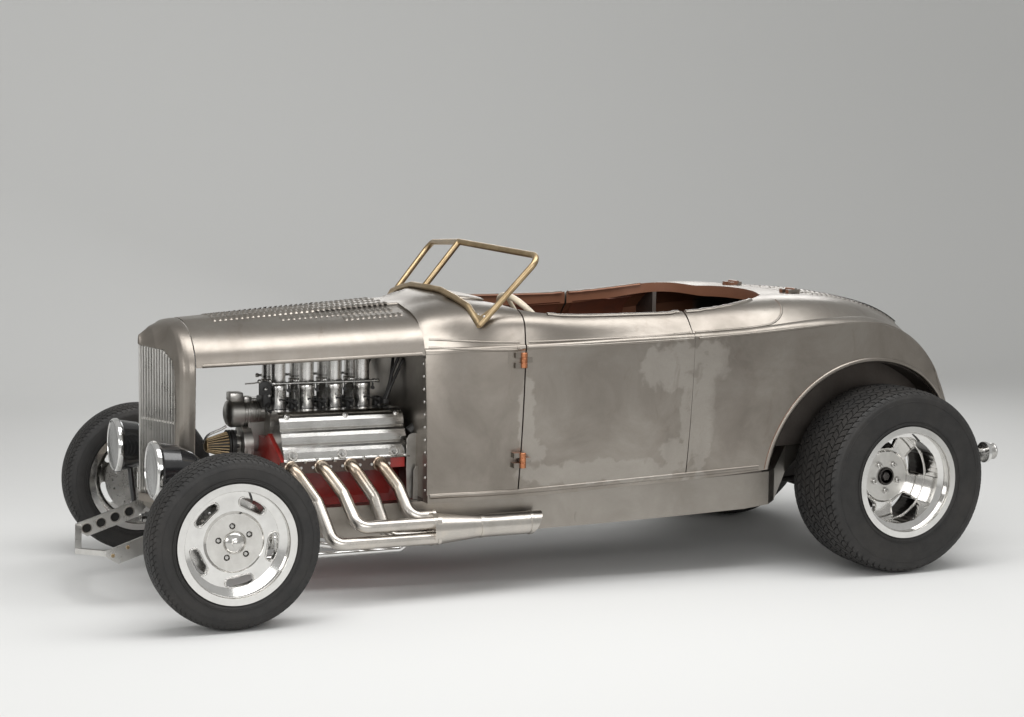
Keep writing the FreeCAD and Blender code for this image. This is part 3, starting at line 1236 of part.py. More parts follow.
header_parts.append(block(d.port_station - d.flange_reach,
                          front_axle_x - last_port.x + d.flange_reach,
                          port_face + d.seat_clearance, d.port_track,
                          d.port_height - d.flange_height / 2, d.port_height + d.flange_height / 2))
cluster = at(d.slip_station - d.primary_radius, d.collector_track, d.collector_height)
merge = at(d.collector_station, d.collector_track, d.collector_height)
tip = at(d.tip_station, d.collector_track, d.collector_height)
cone_long = d.collector_station - d.slip_station + d.primary_radius
header_parts.append(Part.makeCone(d.cluster_radius, d.collector_radius, cone_long, cluster,
                                  merge - cluster))
header_parts.append(rod(merge, tip, d.collector_radius))
header = header_parts[0].multiFuse(header_parts[1:])
collector_bore = d.collector_radius - d.stack_wall
bore = rod(merge - forward * d.collector_throat, tip - forward * d.cut_overrun, collector_bore)
slash = side_prism([(d.tip_station - d.tip_slash, d.collector_height - d.collector_radius),
                    (d.tip_station, d.collector_height + d.collector_radius),
                    (d.tip_station + d.cut_overrun, d.collector_height + d.collector_radius),
                    (d.tip_station + d.cut_overrun, 0), (d.tip_station - d.tip_slash, 0)],
                   0, beyond)
header = header.cut(bore).cut(slash)
keep("headers", Part.makeCompound([header, mirrored(header)]))

# Wheels


def wheel_outline(kind):
    """Barrel of a rim with its lips and dropped well, and the disc with its hub."""
    lip = kind + "_lip_radius"
    bead = kind + "_bead_radius"
    wide = kind + "_rim_width"
    return [("0", lip), ("-rim_wall", lip), ("-rim_wall", bead), ("-well_start", bead),
            ("-well_start - well_slope", bead + " - well_depth"),
            ("-" + wide + " + well_start + well_slope", bead + " - well_depth"),
            ("-" + wide + " + well_start", bead), ("-" + wide + " + rim_wall", bead),
            ("-" + wide + " + rim_wall", lip), ("-" + wide, lip),
            ("-" + wide, bead + " - rim_wall"),
            ("-" + wide + " + well_start - rim_wall / 2", bead + " - rim_wall"),
            ("-" + wide + " + well_start + well_slope - rim_wall / 2", bead + " - well_depth - rim_wall"),
            ("-well_start - well_slope + rim_wall / 2", bead + " - well_depth - rim_wall"),
            ("-well_start + rim_wall / 2", bead + " - rim_wall"), ("0", bead + " - rim_wall")]


def disc_outline(kind):
    lip_track = kind + "_lip_track"
    face = "(" + kind + "_hub_track - " + lip_track + ")"
    bead = kind + "_bead_radius"
    bore = "bore_radius + pin_clearance"
    edge = bead + " - well_depth - rim_wall / 2"
    return [(face + " - hub_thickness", bore), (face, bore), (face, "hub_radius"),
            (face + " - disc_thickness / 2", "hub_radius + disc_thickness / 2"),
            (face + " - disc_thickness / 2", edge), (face + " - disc_back", edge),
            (face + " - disc_back", "hub_radius"), (face + " - hub_thickness", "hub_foot_radius")]


def pattern(body, feature, label, count):
    turn = body.newObject("PartDesign::PolarPattern", label)
    turn.Originals = [feature]
    turn.Axis = (origin_plane(body, "Y_Axis"), [""])
    turn.Angle = 360
    turn.Occurrences = count
    body.Tip = turn
    return turn


def pocket(body, sketch, label, depth_text):
    cut = body.newObject("PartDesign::Pocket", label)
    cut.Profile = sketch
    cut.SideType = "Symmetric" if hasattr(cut, "SideType") else "One side"
    cut.Length = worked_out(depth_text)
    cut.setExpression("Length", linked(depth_text))
    return cut


# Half outline of a window from its inner edge outwards, as shares of its half length and its depth
window_shares = {
    "front": [(0.62, 0.00), (0.80, 0.05), (0.93, 0.20), (1.00, 0.42), (0.98, 0.64), (0.86, 0.80),
              (0.62, 0.93), (0.30, 1.00)],
    "rear": [(0.50, 0.00), (0.62, 0.04), (0.70, 0.16), (0.96, 0.66), (1.00, 0.78), (0.94, 0.88),
             (0.60, 0.97), (0.25, 1.00)],
}


def wheel_rim(kind, label, placement):
    body = doc.addObject("PartDesign::Body", label)
    body.Label = label
    barrel = revolved(body, label + "_barrel", wheel_outline(kind))
    disc = revolved(body, label + "_disc", disc_outline(kind))
    half = kind + "_window_half"
    inner = kind + "_window_inner"
    reach = " + (" + kind + "_window_outer - " + inner + ") * "
    right = [(half + " * %.3f" % out_share, inner + reach + "%.3f" % up_share)
             for out_share, up_share in window_shares[kind]]
    left = [("-" + across, up) for across, up in right[::-1]]
    window = outline_sketch(body, label + "_window", "XZ_Plane", right + left)
    opening = pocket(body, window, label + "_window_cut", "rim_cut_length")
    windows = pattern(body, opening, label + "_windows", int(d.window_count))
    lug = circle_sketch(body, label + "_lug", "XZ_Plane", "0", "-lug_circle_radius", "lug_hole_radius")
    lug_cut = pocket(body, lug, label + "_lug_cut", "rim_cut_length")
    pattern(body, lug_cut, label + "_lugs", int(d.window_count))
    body.Placement = placement
    solids[label] = body
    return body


# Half tread from its edge inwards, as shares of its width and of the shoulder's drop
tread_shares = [(0.5, 0.7), (0.3333, 0.2), (0.125, 0.0)]


def tyre_outline(kind):
    wide = kind + "_tyre_width"
    tread = kind + "_tread_width"
    radius = kind + "_tyre_radius"
    bead = kind + "_bead_radius + seat_clearance"
    lip = kind + "_lip_radius"
    foot = kind + "_rim_width / 2 - rim_wall - seat_clearance"
    half = [(foot, bead), (foot, lip + " + seat_clearance * 2"),
            (wide + " / 2 - sidewall_bulge", lip + " + bead_foot"),
            (wide + " / 2", "(" + radius + " + " + lip + ") / 2"),
            (wide + " / 2 - sidewall_bulge / 2", radius + " - wall_top_drop")]
    half += [(tread + " * %.4f" % across_share, radius + " - shoulder_drop * %.3f" % drop_share)
             for across_share, drop_share in tread_shares]
    other = [("-(" + across + ")", up) for across, up in half[::-1]]
    return half + other


def tyre(kind, label, placement):
    body = doc.addObject("PartDesign::Body", label)
    body.Label = label
    revolved(body, label + "_ring", tyre_outline(kind))
    body.Placement = placement
    solids[label] = body
    return body


def turned(side):
    return Rotation(Vector(0, 0, 1), 0 if side > 0 else 180)


# How far each kind of wheel has rolled on at rest, as a share of a full turn
rolled_shares = {"front": -0.078, "rear": 0}


for kind, station, radius, lip_track, rim_wide in (
        ("front", 0, d.front_tyre_radius, d.front_lip_track, d.front_rim_width),
        ("rear", d.wheelbase, d.rear_tyre_radius, d.rear_lip_track, d.rear_rim_width)):
    for side, name in ((1, "left"), (-1, "right")):
        rolled = Rotation(Vector(0, 1, 0), rolled_shares[kind] * 360)
        rim_place = Placement(at(station, side * lip_track, radius), rolled * turned(side))
        tyre_place = Placement(at(station, side * (lip_track - rim_wide / 2), radius), turned(side))
        wheel_rim(kind, "rim_%s_%s" % (kind, name), rim_place)
        tyre(kind, "tyre_%s_%s" % (kind, name), tyre_place)

# Drilled front brake rotors, and rear drums, each with the hub that carries its wheel
turning = Vector(0, 1, 0)
rotor = Part.makeCylinder(d.rotor_radius, d.rotor_thickness,
                          at(0, d.rotor_track - d.rotor_thickness / 2, axle_height), turning)
hub_face = d.front_hub_track - d.hub_thickness - d.seat_clearance
rotor = rotor.fuse(rod(at(0, d.rotor_track, axle_height), at(0, hub_face, axle_height),
                       d.rotor_hub_radius))
drills = [Part.makeCylinder(d.spindle_radius + d.pin_clearance, d.front_hub_track,
                            at(0, 0, axle_height), turning)]
for number in range(int(d.rotor_hole_count)):
    angle = 2 * math.pi * number / d.rotor_hole_count
    centre = at(d.rotor_hole_circle * math.cos(angle), 0,
                axle_height + d.rotor_hole_circle * math.sin(angle))
    drills.append(Part.makeCylinder(d.rotor_hole_radius, beyond, centre, turning))
pair("brake_rotor", rotor.cut(drills[0].multiFuse(drills[1:])))

drum_start = at(rear, d.rear_tube_end + d.panel_gap, hub_level)
drum_hub_end = at(rear, d.rear_hub_track - d.hub_thickness - d.seat_clearance, hub_level)
drum = Part.makeCylinder(d.drum_radius, d.drum_depth, drum_start, turning)
drum = drum.fuse(rod(drum_start, drum_hub_end, d.drum_hub_radius))
pair("brake_drum", drum.cut(Part.makeCylinder(d.spindle_radius + d.pin_clearance, beyond,
                                              at(rear, 0, hub_level), turning)))

# Headlamps on their stands
# Along and out shares of the bullet's depth and radius, from the recessed lens backwards
lamp_shares = [(0, 0.88), (0, 1.0), (0.08, 1.0), (0.12, 0.95), (0.45, 0.84), (0.72, 0.58),
               (0.92, 0.26), (1.0, 0.0), (0.06, 0.0), (0.06, 0.88)]


def lamp(nose, direction, radius, depth):
    """Bullet body with a recess for its lens, nose first."""
    out = Vector(0, 0, radius)
    points = [nose + direction * (along * depth) + out * across for along, across in lamp_shares]
    return Part.Face(ring_of(points)).revolve(nose, direction, 360)


lamp_front = at(d.lamp_station, d.lamp_track, d.lamp_height)
lamp_body = lamp(lamp_front, -forward, d.lamp_radius, d.lamp_depth)
boss_start = at(d.lamp_stand_station, horn_face + d.seat_clearance, d.lamp_stand_height)
boss_end = boss_start + turning * d.lamp_boss_length
stem_start = boss_start + turning * (d.lamp_boss_length / 2)
stem_end = at(d.lamp_reach_station, d.lamp_track, d.lamp_reach_height)
lamp_piece = lamp_body.multiFuse([rod(boss_start, boss_end, d.lamp_boss_radius),
                                  rod(stem_start, stem_end, d.lamp_stand_radius)])
horn_room = block(d.horn_tip_station, 0, 0, horn_face + d.seat_clearance, 0,
                  d.horn_root_height)
lamp_piece = lamp_piece.cut(horn_room)
keep("headlamps", Part.makeCompound([lamp_piece, mirrored(lamp_piece)]))

tail_nose = at(d.wheelbase + d.rear_reach, d.tail_lamp_track, d.tail_lamp_height)
tail_body = lamp(tail_nose, forward, d.tail_lamp_radius, d.tail_lamp_depth)
end_out, end_top, end_low = rail_at(d.rail_rear)
stand_start = at(d.rail_rear + d.seat_clearance, end_out - d.rail_thickness / 2,
                 (end_top + end_low) / 2)
stand_run = stand_start - forward * d.tail_stand_run
tail_stem = swept([stand_start, stand_run, tail_nose + forward * (d.tail_lamp_depth / 2)],
                  d.tail_stand_radius * 2, d.tail_stand_radius)
tail = tail_body.fuse(tail_stem)
keep("tail_lamps", Part.makeCompound([tail, mirrored(tail)]))

# Steering wheel and column
grip = Part.makeTorus(d.grip_circle_radius, d.grip_radius, grip_centre, column_way)
hub = Part.makeCylinder(d.grip_hub_radius, d.grip_hub_depth, grip_centre, column_way)
spokes = []
upward = column_way.cross(turning)
for number in range(int(d.spoke_count)):
    angle = math.pi / 2 + number * 2 * math.pi / d.spoke_count
    way = turning * math.cos(angle) + upward * math.sin(angle)
    spokes.append(rod(grip_centre + column_way * (d.grip_radius / 2),
                      grip_centre + way * d.grip_circle_radius, d.spoke_radius))
keep("steering_wheel", grip.multiFuse([hub] + spokes))

column_start = grip_centre + column_way * (d.grip_hub_depth + d.seat_clearance)
column = rod(column_start, grip_centre + column_way * column_run, d.column_radius)
hanger_height = d.grip_height - (d.grip_station - dash_rear) * math.tan(column_lean)
hanger = block(dash_rear - d.dash_thickness, dash_rear, d.grip_track - d.hanger_half_width,
               d.grip_track + d.hanger_half_width, hanger_height, d.dash_bottom - d.seat_clearance)
keep("steering_column", column.fuse(hanger))

# Check and write every piece
doc.recompute()
for item in doc.Objects:
    if "Invalid" in item.State or "Error" in item.State:
        raise RuntimeError("failed object: " + item.Label)
for label, feature in solids.items():
    shape = feature.Shape
    if shape.isNull() or not shape.isValid():
        raise RuntimeError("bad shape: " + label)
for label, feature in solids.items():
    feature.Shape.exportStep("parts/" + label + ".step")
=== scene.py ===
import bpy
import bmesh
import json
import math
import random
from mathutils import Matrix, Vector, noise
from mathutils.bvhtree import BVHTree


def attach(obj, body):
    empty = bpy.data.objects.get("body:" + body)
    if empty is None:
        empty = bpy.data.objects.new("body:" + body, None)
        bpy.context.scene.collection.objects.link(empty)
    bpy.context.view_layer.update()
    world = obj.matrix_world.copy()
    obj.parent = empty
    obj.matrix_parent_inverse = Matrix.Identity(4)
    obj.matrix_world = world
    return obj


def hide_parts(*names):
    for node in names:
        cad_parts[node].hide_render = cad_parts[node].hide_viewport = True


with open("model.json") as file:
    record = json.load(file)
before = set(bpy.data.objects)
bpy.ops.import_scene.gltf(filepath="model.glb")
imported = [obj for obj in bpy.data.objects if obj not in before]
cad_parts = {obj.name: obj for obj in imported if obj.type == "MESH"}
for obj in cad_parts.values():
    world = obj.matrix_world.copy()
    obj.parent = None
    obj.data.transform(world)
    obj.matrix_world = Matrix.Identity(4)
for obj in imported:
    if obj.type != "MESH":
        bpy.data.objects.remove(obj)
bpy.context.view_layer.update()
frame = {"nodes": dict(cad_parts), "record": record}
nodes = frame["nodes"]
scene = bpy.context.scene
random.seed(7)

# Places are in metres. X points forward, Y to the left, Z up. A station is a distance behind the
# front axle.
FRONT_X = 1.485
WHEELBASE = 2.692
REAR_X = FRONT_X - WHEELBASE
FRONT_RADIUS, REAR_RADIUS = 0.300, 0.365
FRONT_LIP, REAR_LIP = 0.208, 0.220
FRONT_LIP_TRACK, REAR_LIP_TRACK = 0.767, 0.790
FRONT_TREAD, REAR_TREAD = 0.128, 0.262
FRONT_TYRE_WIDTH, REAR_TYRE_WIDTH = 0.160, 0.300
FRONT_RIM_WIDTH, REAR_RIM_WIDTH = 0.140, 0.282
FRONT_ROLLED = math.radians(28.08)
UP = Vector((0, 0, 1))
AHEAD = Vector((1, 0, 0))
SIDES = ((1, "left"), (-1, "right"))
USUAL_EDGE = 40


def at(station, track, height):
    """Place at a station, a distance to the left and a height."""
    return Vector((FRONT_X - station, track, height))


# Materials
def new_material(name):
    """A material with its node tree and its one shader."""
    material = bpy.data.materials.new(name)
    material.use_nodes = True
    tree = material.node_tree
    shader = tree.nodes["Principled BSDF"]
    return material, tree, shader


def place_input(tree, scale=(1, 1, 1), coords="Object"):
    """The shaded point's own place, stretched by a scale."""
    texco = tree.nodes.new("ShaderNodeTexCoord")
    mapping = tree.nodes.new("ShaderNodeMapping")
    mapping.inputs["Scale"].default_value = scale
    tree.links.new(texco.outputs[coords], mapping.inputs["Vector"])
    return mapping.outputs["Vector"]


def noise_node(tree, vector, scale, detail=4.0, rough=0.55, distortion=0.0):
    node = tree.nodes.new("ShaderNodeTexNoise")
    node.inputs["Scale"].default_value = scale
    node.inputs["Detail"].default_value = detail
    node.inputs["Roughness"].default_value = rough
    node.inputs["Distortion"].default_value = distortion
    tree.links.new(vector, node.inputs["Vector"])
    return node.outputs["Fac"]


def ramp(tree, value, stops):
    """Colour for a value, from pairs of place and colour."""
    node = tree.nodes.new("ShaderNodeValToRGB")
    elements = node.color_ramp.elements
    while len(elements) < len(stops):
        elements.new(0.5)
    for element, (place, color) in zip(elements, stops):
        element.position = place
        element.color = (*color, 1) if len(color) == 3 else color
    tree.links.new(value, node.inputs["Fac"])
    return node.outputs["Color"]


def remap(tree, value, low, high, to_low, to_high):
    """A value's range from low to high, spread over the range from to_low to to_high."""
    node = tree.nodes.new("ShaderNodeMapRange")
    node.inputs["From Min"].default_value = low
    node.inputs["From Max"].default_value = high
    node.inputs["To Min"].default_value = to_low
    node.inputs["To Max"].default_value = to_high
    tree.links.new(value, node.inputs["Value"])
    return node.outputs["Result"]


def blend_color(tree, fac, a, b, mode="MIX"):
    """Colour a turning into colour b as fac goes from 0 to 1."""
    node = tree.nodes.new("ShaderNodeMix")
    node.data_type = "RGBA"
    node.blend_type = mode
    for socket, value in (("Factor", fac), ("A", a), ("B", b)):
        target = [s for s in node.inputs if s.name == socket and s.enabled][0]
        if isinstance(value, bpy.types.NodeSocket):
            tree.links.new(value, target)
        elif isinstance(value, tuple):
            target.default_value = (*value, 1)
        else:
            target.default_value = value
    return [s for s in node.outputs if s.enabled][0]


def calc(tree, kind, a, b=None, clamp=False):
    node = tree.nodes.new("ShaderNodeMath")
    node.operation = kind
    node.use_clamp = clamp
    for index, value in enumerate((a, b)):
        if value is None:
            continue
        if isinstance(value, bpy.types.NodeSocket):
            tree.links.new(value, node.inputs[index])
        else:
            node.inputs[index].default_value = value
    return node.outputs["Value"]


def bump(tree, shader, height, strength, distance=0.001):
    node = tree.nodes.new("ShaderNodeBump")
    node.inputs["Strength"].default_value = strength
    node.inputs["Distance"].default_value = distance
    tree.links.new(height, node.inputs["Height"])
    tree.links.new(node.outputs["Normal"], shader.inputs["Normal"])
    return node


def spot(tree, vector, centre, size):
    """Distance from a centre as a share of an ellipsoid's half size: 1 on its surface."""
    offset = tree.nodes.new("ShaderNodeVectorMath")
    offset.operation = "SUBTRACT"
    tree.links.new(vector, offset.inputs[0])
    offset.inputs[1].default_value = centre
    share = tree.nodes.new("ShaderNodeVectorMath")
    share.operation = "DIVIDE"
    tree.links.new(offset.outputs["Vector"], share.inputs[0])
    share.inputs[1].default_value = size
    reach = tree.nodes.new("ShaderNodeVectorMath")
    reach.operation = "LENGTH"
    tree.links.new(share.outputs["Vector"], reach.inputs[0])
    return reach.outputs["Value"]


def fine_grain(tree, shader, vector, scale, low, high, strength, distance):
    """Fine noise that sets the roughness between two values and roughens the surface a little."""
    fine = noise_node(tree, vector, scale, 3.0, 0.6)
    tree.links.new(remap(tree, fine, 0.3, 0.7, low, high), shader.inputs["Roughness"])
    bump(tree, shader, fine, strength, distance)


def metal(name, color, dark, roughness, spread=0.06, grain=(1, 1, 1), grain_scale=900.0,
          bump_strength=0.04, cloud=6.0, metallic=1.0, anisotropic=0.0):
    """Bare or plated metal with cloudy tone and fine directional grain."""
    material, tree, shader = new_material(name)
    shader.inputs["Metallic"].default_value = metallic
    shader.inputs["Anisotropic"].default_value = anisotropic
    vector = place_input(tree)
    clouds = noise_node(tree, vector, cloud, 6.0, 0.6, 0.4)
    tone = ramp(tree, clouds, [(0.3, dark), (0.7, color)])
    grained = place_input(tree, grain)
    fine = noise_node(tree, grained, grain_scale, 3.0, 0.6)
    shade = blend_color(tree, remap(tree, fine, 0.3, 0.7, 0.0, 0.16), tone, dark)
    tree.links.new(shade, shader.inputs["Base Color"])
    both = calc(tree, "ADD", calc(tree, "MULTIPLY", clouds, 0.6), calc(tree, "MULTIPLY", fine, 0.4))
    tree.links.new(remap(tree, both, 0.3, 0.7, roughness - spread, roughness + spread),
                   shader.inputs["Roughness"])
    bump(tree, shader, fine, bump_strength, 0.0004)
    return material


def body_steel():
    """Bare sheet steel, planished and brushed, with lighter bare bands and patches."""
    material, tree, shader = new_material("bare_body_steel")
    vector = place_input(tree)
    clouds = noise_node(tree, vector, 3.2, 8.0, 0.62, 0.6)
    tone = ramp(tree, clouds, [(0.28, (0.215, 0.192, 0.166)), (0.5, (0.295, 0.266, 0.234)),
                               (0.72, (0.375, 0.345, 0.308))])
    ragged = noise_node(tree, place_input(tree, (1, 0.2, 1)), 22.0, 5.0, 0.50, 0.5)
    edge = remap(tree, ragged, 0.2, 0.8, -0.55, 0.55)
    patches = None
    for centre, size in (((-0.240, 0.6, 0.835), (0.115, 0.5, 0.095)),
                         ((-0.325, 0.6, 0.640), (0.034, 0.5, 0.22)),
                         ((-0.270, 0.6, 0.500), (0.075, 0.5, 0.055)),
                         ((0.020, 0.6, 0.440), (0.36, 0.5, 0.046)),
                         ((0.335, 0.6, 0.640), (0.030, 0.5, 0.17)),
                         ((0.300, 0.6, 0.530), (0.048, 0.5, 0.042)),
                         ((-0.385, 0.6, 0.640), (0.044, 0.5, 0.30)),
                         ((-0.430, 0.6, 0.850), (0.060, 0.5, 0.075)),
                         ((0.02, -0.6, 0.640), (0.16, 0.5, 0.20)),
                         ((-0.500, -0.6, 0.600), (0.08, 0.5, 0.24))):
        reach = calc(tree, "ADD", spot(tree, vector, centre, size), edge)
        inside = remap(tree, reach, 0.86, 1.10, 1.0, 0.0)
        patches = inside if patches is None else calc(tree, "MAXIMUM", patches, inside)
    light = blend_color(tree, clouds, (0.40, 0.372, 0.336), (0.50, 0.470, 0.428))
    toned = blend_color(tree, calc(tree, "MULTIPLY", patches, 0.50), tone, light)
    # painted shade: a dark area on the left quarter, between the door and the rear arch, with a ragged edge
    shaded = remap(tree, calc(tree, "ADD", spot(tree, vector, (-0.510, 0.6, 0.690), (0.10, 0.5, 0.24)),
                              calc(tree, "MULTIPLY", edge, 0.5)), 0.70, 1.05, 0.30, 0.0)
    toned = blend_color(tree, shaded, toned, (0.17, 0.145, 0.125))
    # darker heat and grease marks
    stains = noise_node(tree, place_input(tree, (1, 0.3, 0.5)), 9.0, 6.0, 0.7, 1.2)
    stain = remap(tree, stains, 0.60, 0.74, 0.0, 0.45)
    toned = blend_color(tree, stain, toned, (0.20, 0.165, 0.135))
    fine = noise_node(tree, place_input(tree, (160, 160, 9)), 6.0, 4.0, 0.65)
    cross = noise_node(tree, place_input(tree, (7, 160, 160)), 5.0, 3.0, 0.6)
    scratch = calc(tree, "ADD", calc(tree, "MULTIPLY", fine, 0.65), calc(tree, "MULTIPLY", cross, 0.35))
    toned = blend_color(tree, remap(tree, scratch, 0.35, 0.65, 0.0, 0.20), toned, (0.22, 0.20, 0.18))
    # reddish brown inner faces round the cockpit
    surface = tree.nodes.new("ShaderNodeNewGeometry")
    outward = tree.nodes.new("ShaderNodeVectorMath")
    outward.operation = "SUBTRACT"
    tree.links.new(vector, outward.inputs[0])
    outward.inputs[1].default_value = (-0.20, 0.0, 0.80)
    facing = tree.nodes.new("ShaderNodeVectorMath")
    facing.operation = "DOT_PRODUCT"
    tree.links.new(outward.outputs["Vector"], facing.inputs[0])
    tree.links.new(surface.outputs["Normal"], facing.inputs[1])
    place = tree.nodes.new("ShaderNodeSeparateXYZ")
    tree.links.new(vector, place.inputs[0])
    inner = remap(tree, facing.outputs["Value"], -0.20, -0.14, 1.0, 0.0)
    inner = calc(tree, "MULTIPLY", inner, remap(tree, place.outputs["X"], -1.02, -0.99, 0.0, 1.0))
    inner = calc(tree, "MULTIPLY", inner, remap(tree, place.outputs["X"], 0.50, 0.54, 1.0, 0.0))
    brown = blend_color(tree, clouds, (0.13, 0.050, 0.028), (0.27, 0.125, 0.070))
    toned = blend_color(tree, inner, toned, brown)
    tree.links.new(calc(tree, "SUBTRACT", 1.0, calc(tree, "MULTIPLY", inner, 0.7)),
                   shader.inputs["Metallic"])
    tree.links.new(toned, shader.inputs["Base Color"])
    rough = calc(tree, "ADD", remap(tree, clouds, 0.3, 0.7, 0.40, 0.30),
                 remap(tree, scratch, 0.3, 0.7, -0.05, 0.07))
    rough = calc(tree, "ADD", rough, calc(tree, "MULTIPLY", patches, 0.08))
    tree.links.new(rough, shader.inputs["Roughness"])
    waves = noise_node(tree, vector, 7.0, 3.0, 0.5)
    relief = calc(tree, "ADD", calc(tree, "MULTIPLY", waves, 1.0), calc(tree, "MULTIPLY", scratch, 0.035))
    bump(tree, shader, relief, 0.22, 0.0035)
    return material


def painted(name, color, roughness, coat=0.0, speckle=0.05, bump_strength=0.05):
    """Paint or plastic with worn, darker clouds."""
    material, tree, shader = new_material(name)
    shader.inputs["Coat Weight"].default_value = coat
    shader.inputs["Coat Roughness"].default_value = 0.06
    vector = place_input(tree)
    clouds = noise_node(tree, vector, 14.0, 6.0, 0.6)
    worn = tuple(c * 0.62 + 0.01 for c in color)
    tree.links.new(ramp(tree, clouds, [(0.3, worn), (0.6, color)]), shader.inputs["Base Color"])
    fine_grain(tree, shader, vector, 420.0, roughness - speckle, roughness + speckle, bump_strength, 0.0005)
    return material


def rubber():
    """Tyre rubber with brown road dust in places."""
    material, tree, shader = new_material("tyre_rubber")
    vector = place_input(tree)
    clouds = noise_node(tree, vector, 20.0, 6.0, 0.65)
    dust = noise_node(tree, vector, 5.0, 5.0, 0.6, 0.5)
    color = ramp(tree, clouds, [(0.3, (0.009, 0.0085, 0.008)), (0.7, (0.021, 0.0195, 0.0185))])
    color = blend_color(tree, remap(tree, dust, 0.45, 0.75, 0.0, 0.30), color, (0.044, 0.038, 0.032))
    tree.links.new(color, shader.inputs["Base Color"])
    fine_grain(tree, shader, vector, 700.0, 0.52, 0.70, 0.10, 0.0005)
    return material


def hide():
    """Brown leather with a cell grain."""
    material, tree, shader = new_material("brown_hide")
    vector = place_input(tree)
    clouds = noise_node(tree, vector, 9.0, 6.0, 0.6)
    tree.links.new(ramp(tree, clouds, [(0.3, (0.105, 0.032, 0.018)), (0.7, (0.19, 0.064, 0.034))]),
                   shader.inputs["Base Color"])
    cells = tree.nodes.new("ShaderNodeTexVoronoi")
    cells.inputs["Scale"].default_value = 420.0
    tree.links.new(vector, cells.inputs["Vector"])
    tree.links.new(remap(tree, cells.outputs["Distance"], 0.0, 0.8, 0.38, 0.56),
                   shader.inputs["Roughness"])
    bump(tree, shader, cells.outputs["Distance"], 0.25, 0.0006)
    return material


def header_steel():
    """Stainless tube, straw and blue where it is hottest by the ports."""
    material, tree, shader = new_material("header_tube_steel")
    shader.inputs["Metallic"].default_value = 1.0
    vector = place_input(tree)
    split = tree.nodes.new("ShaderNodeSeparateXYZ")
    tree.links.new(vector, split.inputs[0])
    clouds = noise_node(tree, vector, 10.0, 6.0, 0.6, 0.5)
    base = ramp(tree, clouds, [(0.3, (0.46, 0.43, 0.39)), (0.7, (0.62, 0.59, 0.55))])
    heat = calc(tree, "ADD", remap(tree, split.outputs["Z"], 0.34, 0.47, 0.0, 0.8),
                remap(tree, clouds, 0.3, 0.7, -0.25, 0.25))
    tint = ramp(tree, heat, [(0.0, (1.0, 1.0, 1.0)), (0.5, (0.97, 0.91, 0.83)),
                             (0.85, (0.74, 0.63, 0.53))])
    flange = calc(tree, "LESS_THAN", calc(tree, "ABSOLUTE", split.outputs["Y"]), 0.3352)
    tinted = blend_color(tree, 1.0, base, tint, "MULTIPLY")
    tree.links.new(blend_color(tree, flange, tinted, (0.10, 0.075, 0.065)), shader.inputs["Base Color"])
    fine_grain(tree, shader, vector, 500.0, 0.25, 0.35, 0.04, 0.0004)
    return material


def intake_metal():
    """Cast manifold below, brushed stacks above."""
    material, tree, shader = new_material("intake_alloy")
    shader.inputs["Metallic"].default_value = 1.0
    vector = place_input(tree)
    split = tree.nodes.new("ShaderNodeSeparateXYZ")
    tree.links.new(vector, split.inputs[0])
    high = remap(tree, split.outputs["Z"], 0.640, 0.643, 0.0, 1.0)
    clouds = noise_node(tree, vector, 20.0, 5.0, 0.6)
    cast = ramp(tree, clouds, [(0.3, (0.30, 0.29, 0.27)), (0.7, (0.44, 0.425, 0.40))])
    bright = ramp(tree, clouds, [(0.3, (0.76, 0.745, 0.72)), (0.7, (0.88, 0.865, 0.84))])
    tree.links.new(blend_color(tree, high, cast, bright), shader.inputs["Base Color"])
    fine = noise_node(tree, vector, 280.0, 3.0, 0.6)
    rough = remap(tree, high, 0.0, 1.0, 0.46, 0.29)
    rough = calc(tree, "ADD", rough, remap(tree, fine, 0.3, 0.7, -0.04, 0.04))
    tree.links.new(rough, shader.inputs["Roughness"])
    bump(tree, shader, fine, 0.06, 0.0004)
    return material


def lens_glass():
    """Headlamp glass with upright flutes."""
    material, tree, shader = new_material("lamp_lens")
    vector = place_input(tree)
    lines = tree.nodes.new("ShaderNodeTexWave")
    lines.bands_direction = "Y"
    lines.inputs["Scale"].default_value = 26.0
    lines.inputs["Distortion"].default_value = 0.4
    tree.links.new(vector, lines.inputs["Vector"])
    tree.links.new(ramp(tree, lines.outputs["Fac"], [(0.2, (0.17, 0.17, 0.165)), (0.8, (0.33, 0.33, 0.32))]),
                   shader.inputs["Base Color"])
    shader.inputs["Roughness"].default_value = 0.16
    shader.inputs["Metallic"].default_value = 0.25
    shader.inputs["Coat Weight"].default_value = 0.35
    bump(tree, shader, lines.outputs["Fac"], 0.35, 0.0015)
    return material


def red_lens():
    """Tail lamp lens with a fine pebbled face."""
    material, tree, shader = new_material("red_lamp_lens")
    vector = place_input(tree)
    fine = noise_node(tree, vector, 220.0, 2.0, 0.5)
    tree.links.new(ramp(tree, fine, [(0.3, (0.22, 0.006, 0.006)), (0.7, (0.42, 0.014, 0.010))]),
                   shader.inputs["Base Color"])
    shader.inputs["Roughness"].default_value = 0.12
    shader.inputs["Coat Weight"].default_value = 0.7
    bump(tree, shader, fine, 0.2, 0.0008)
    return material


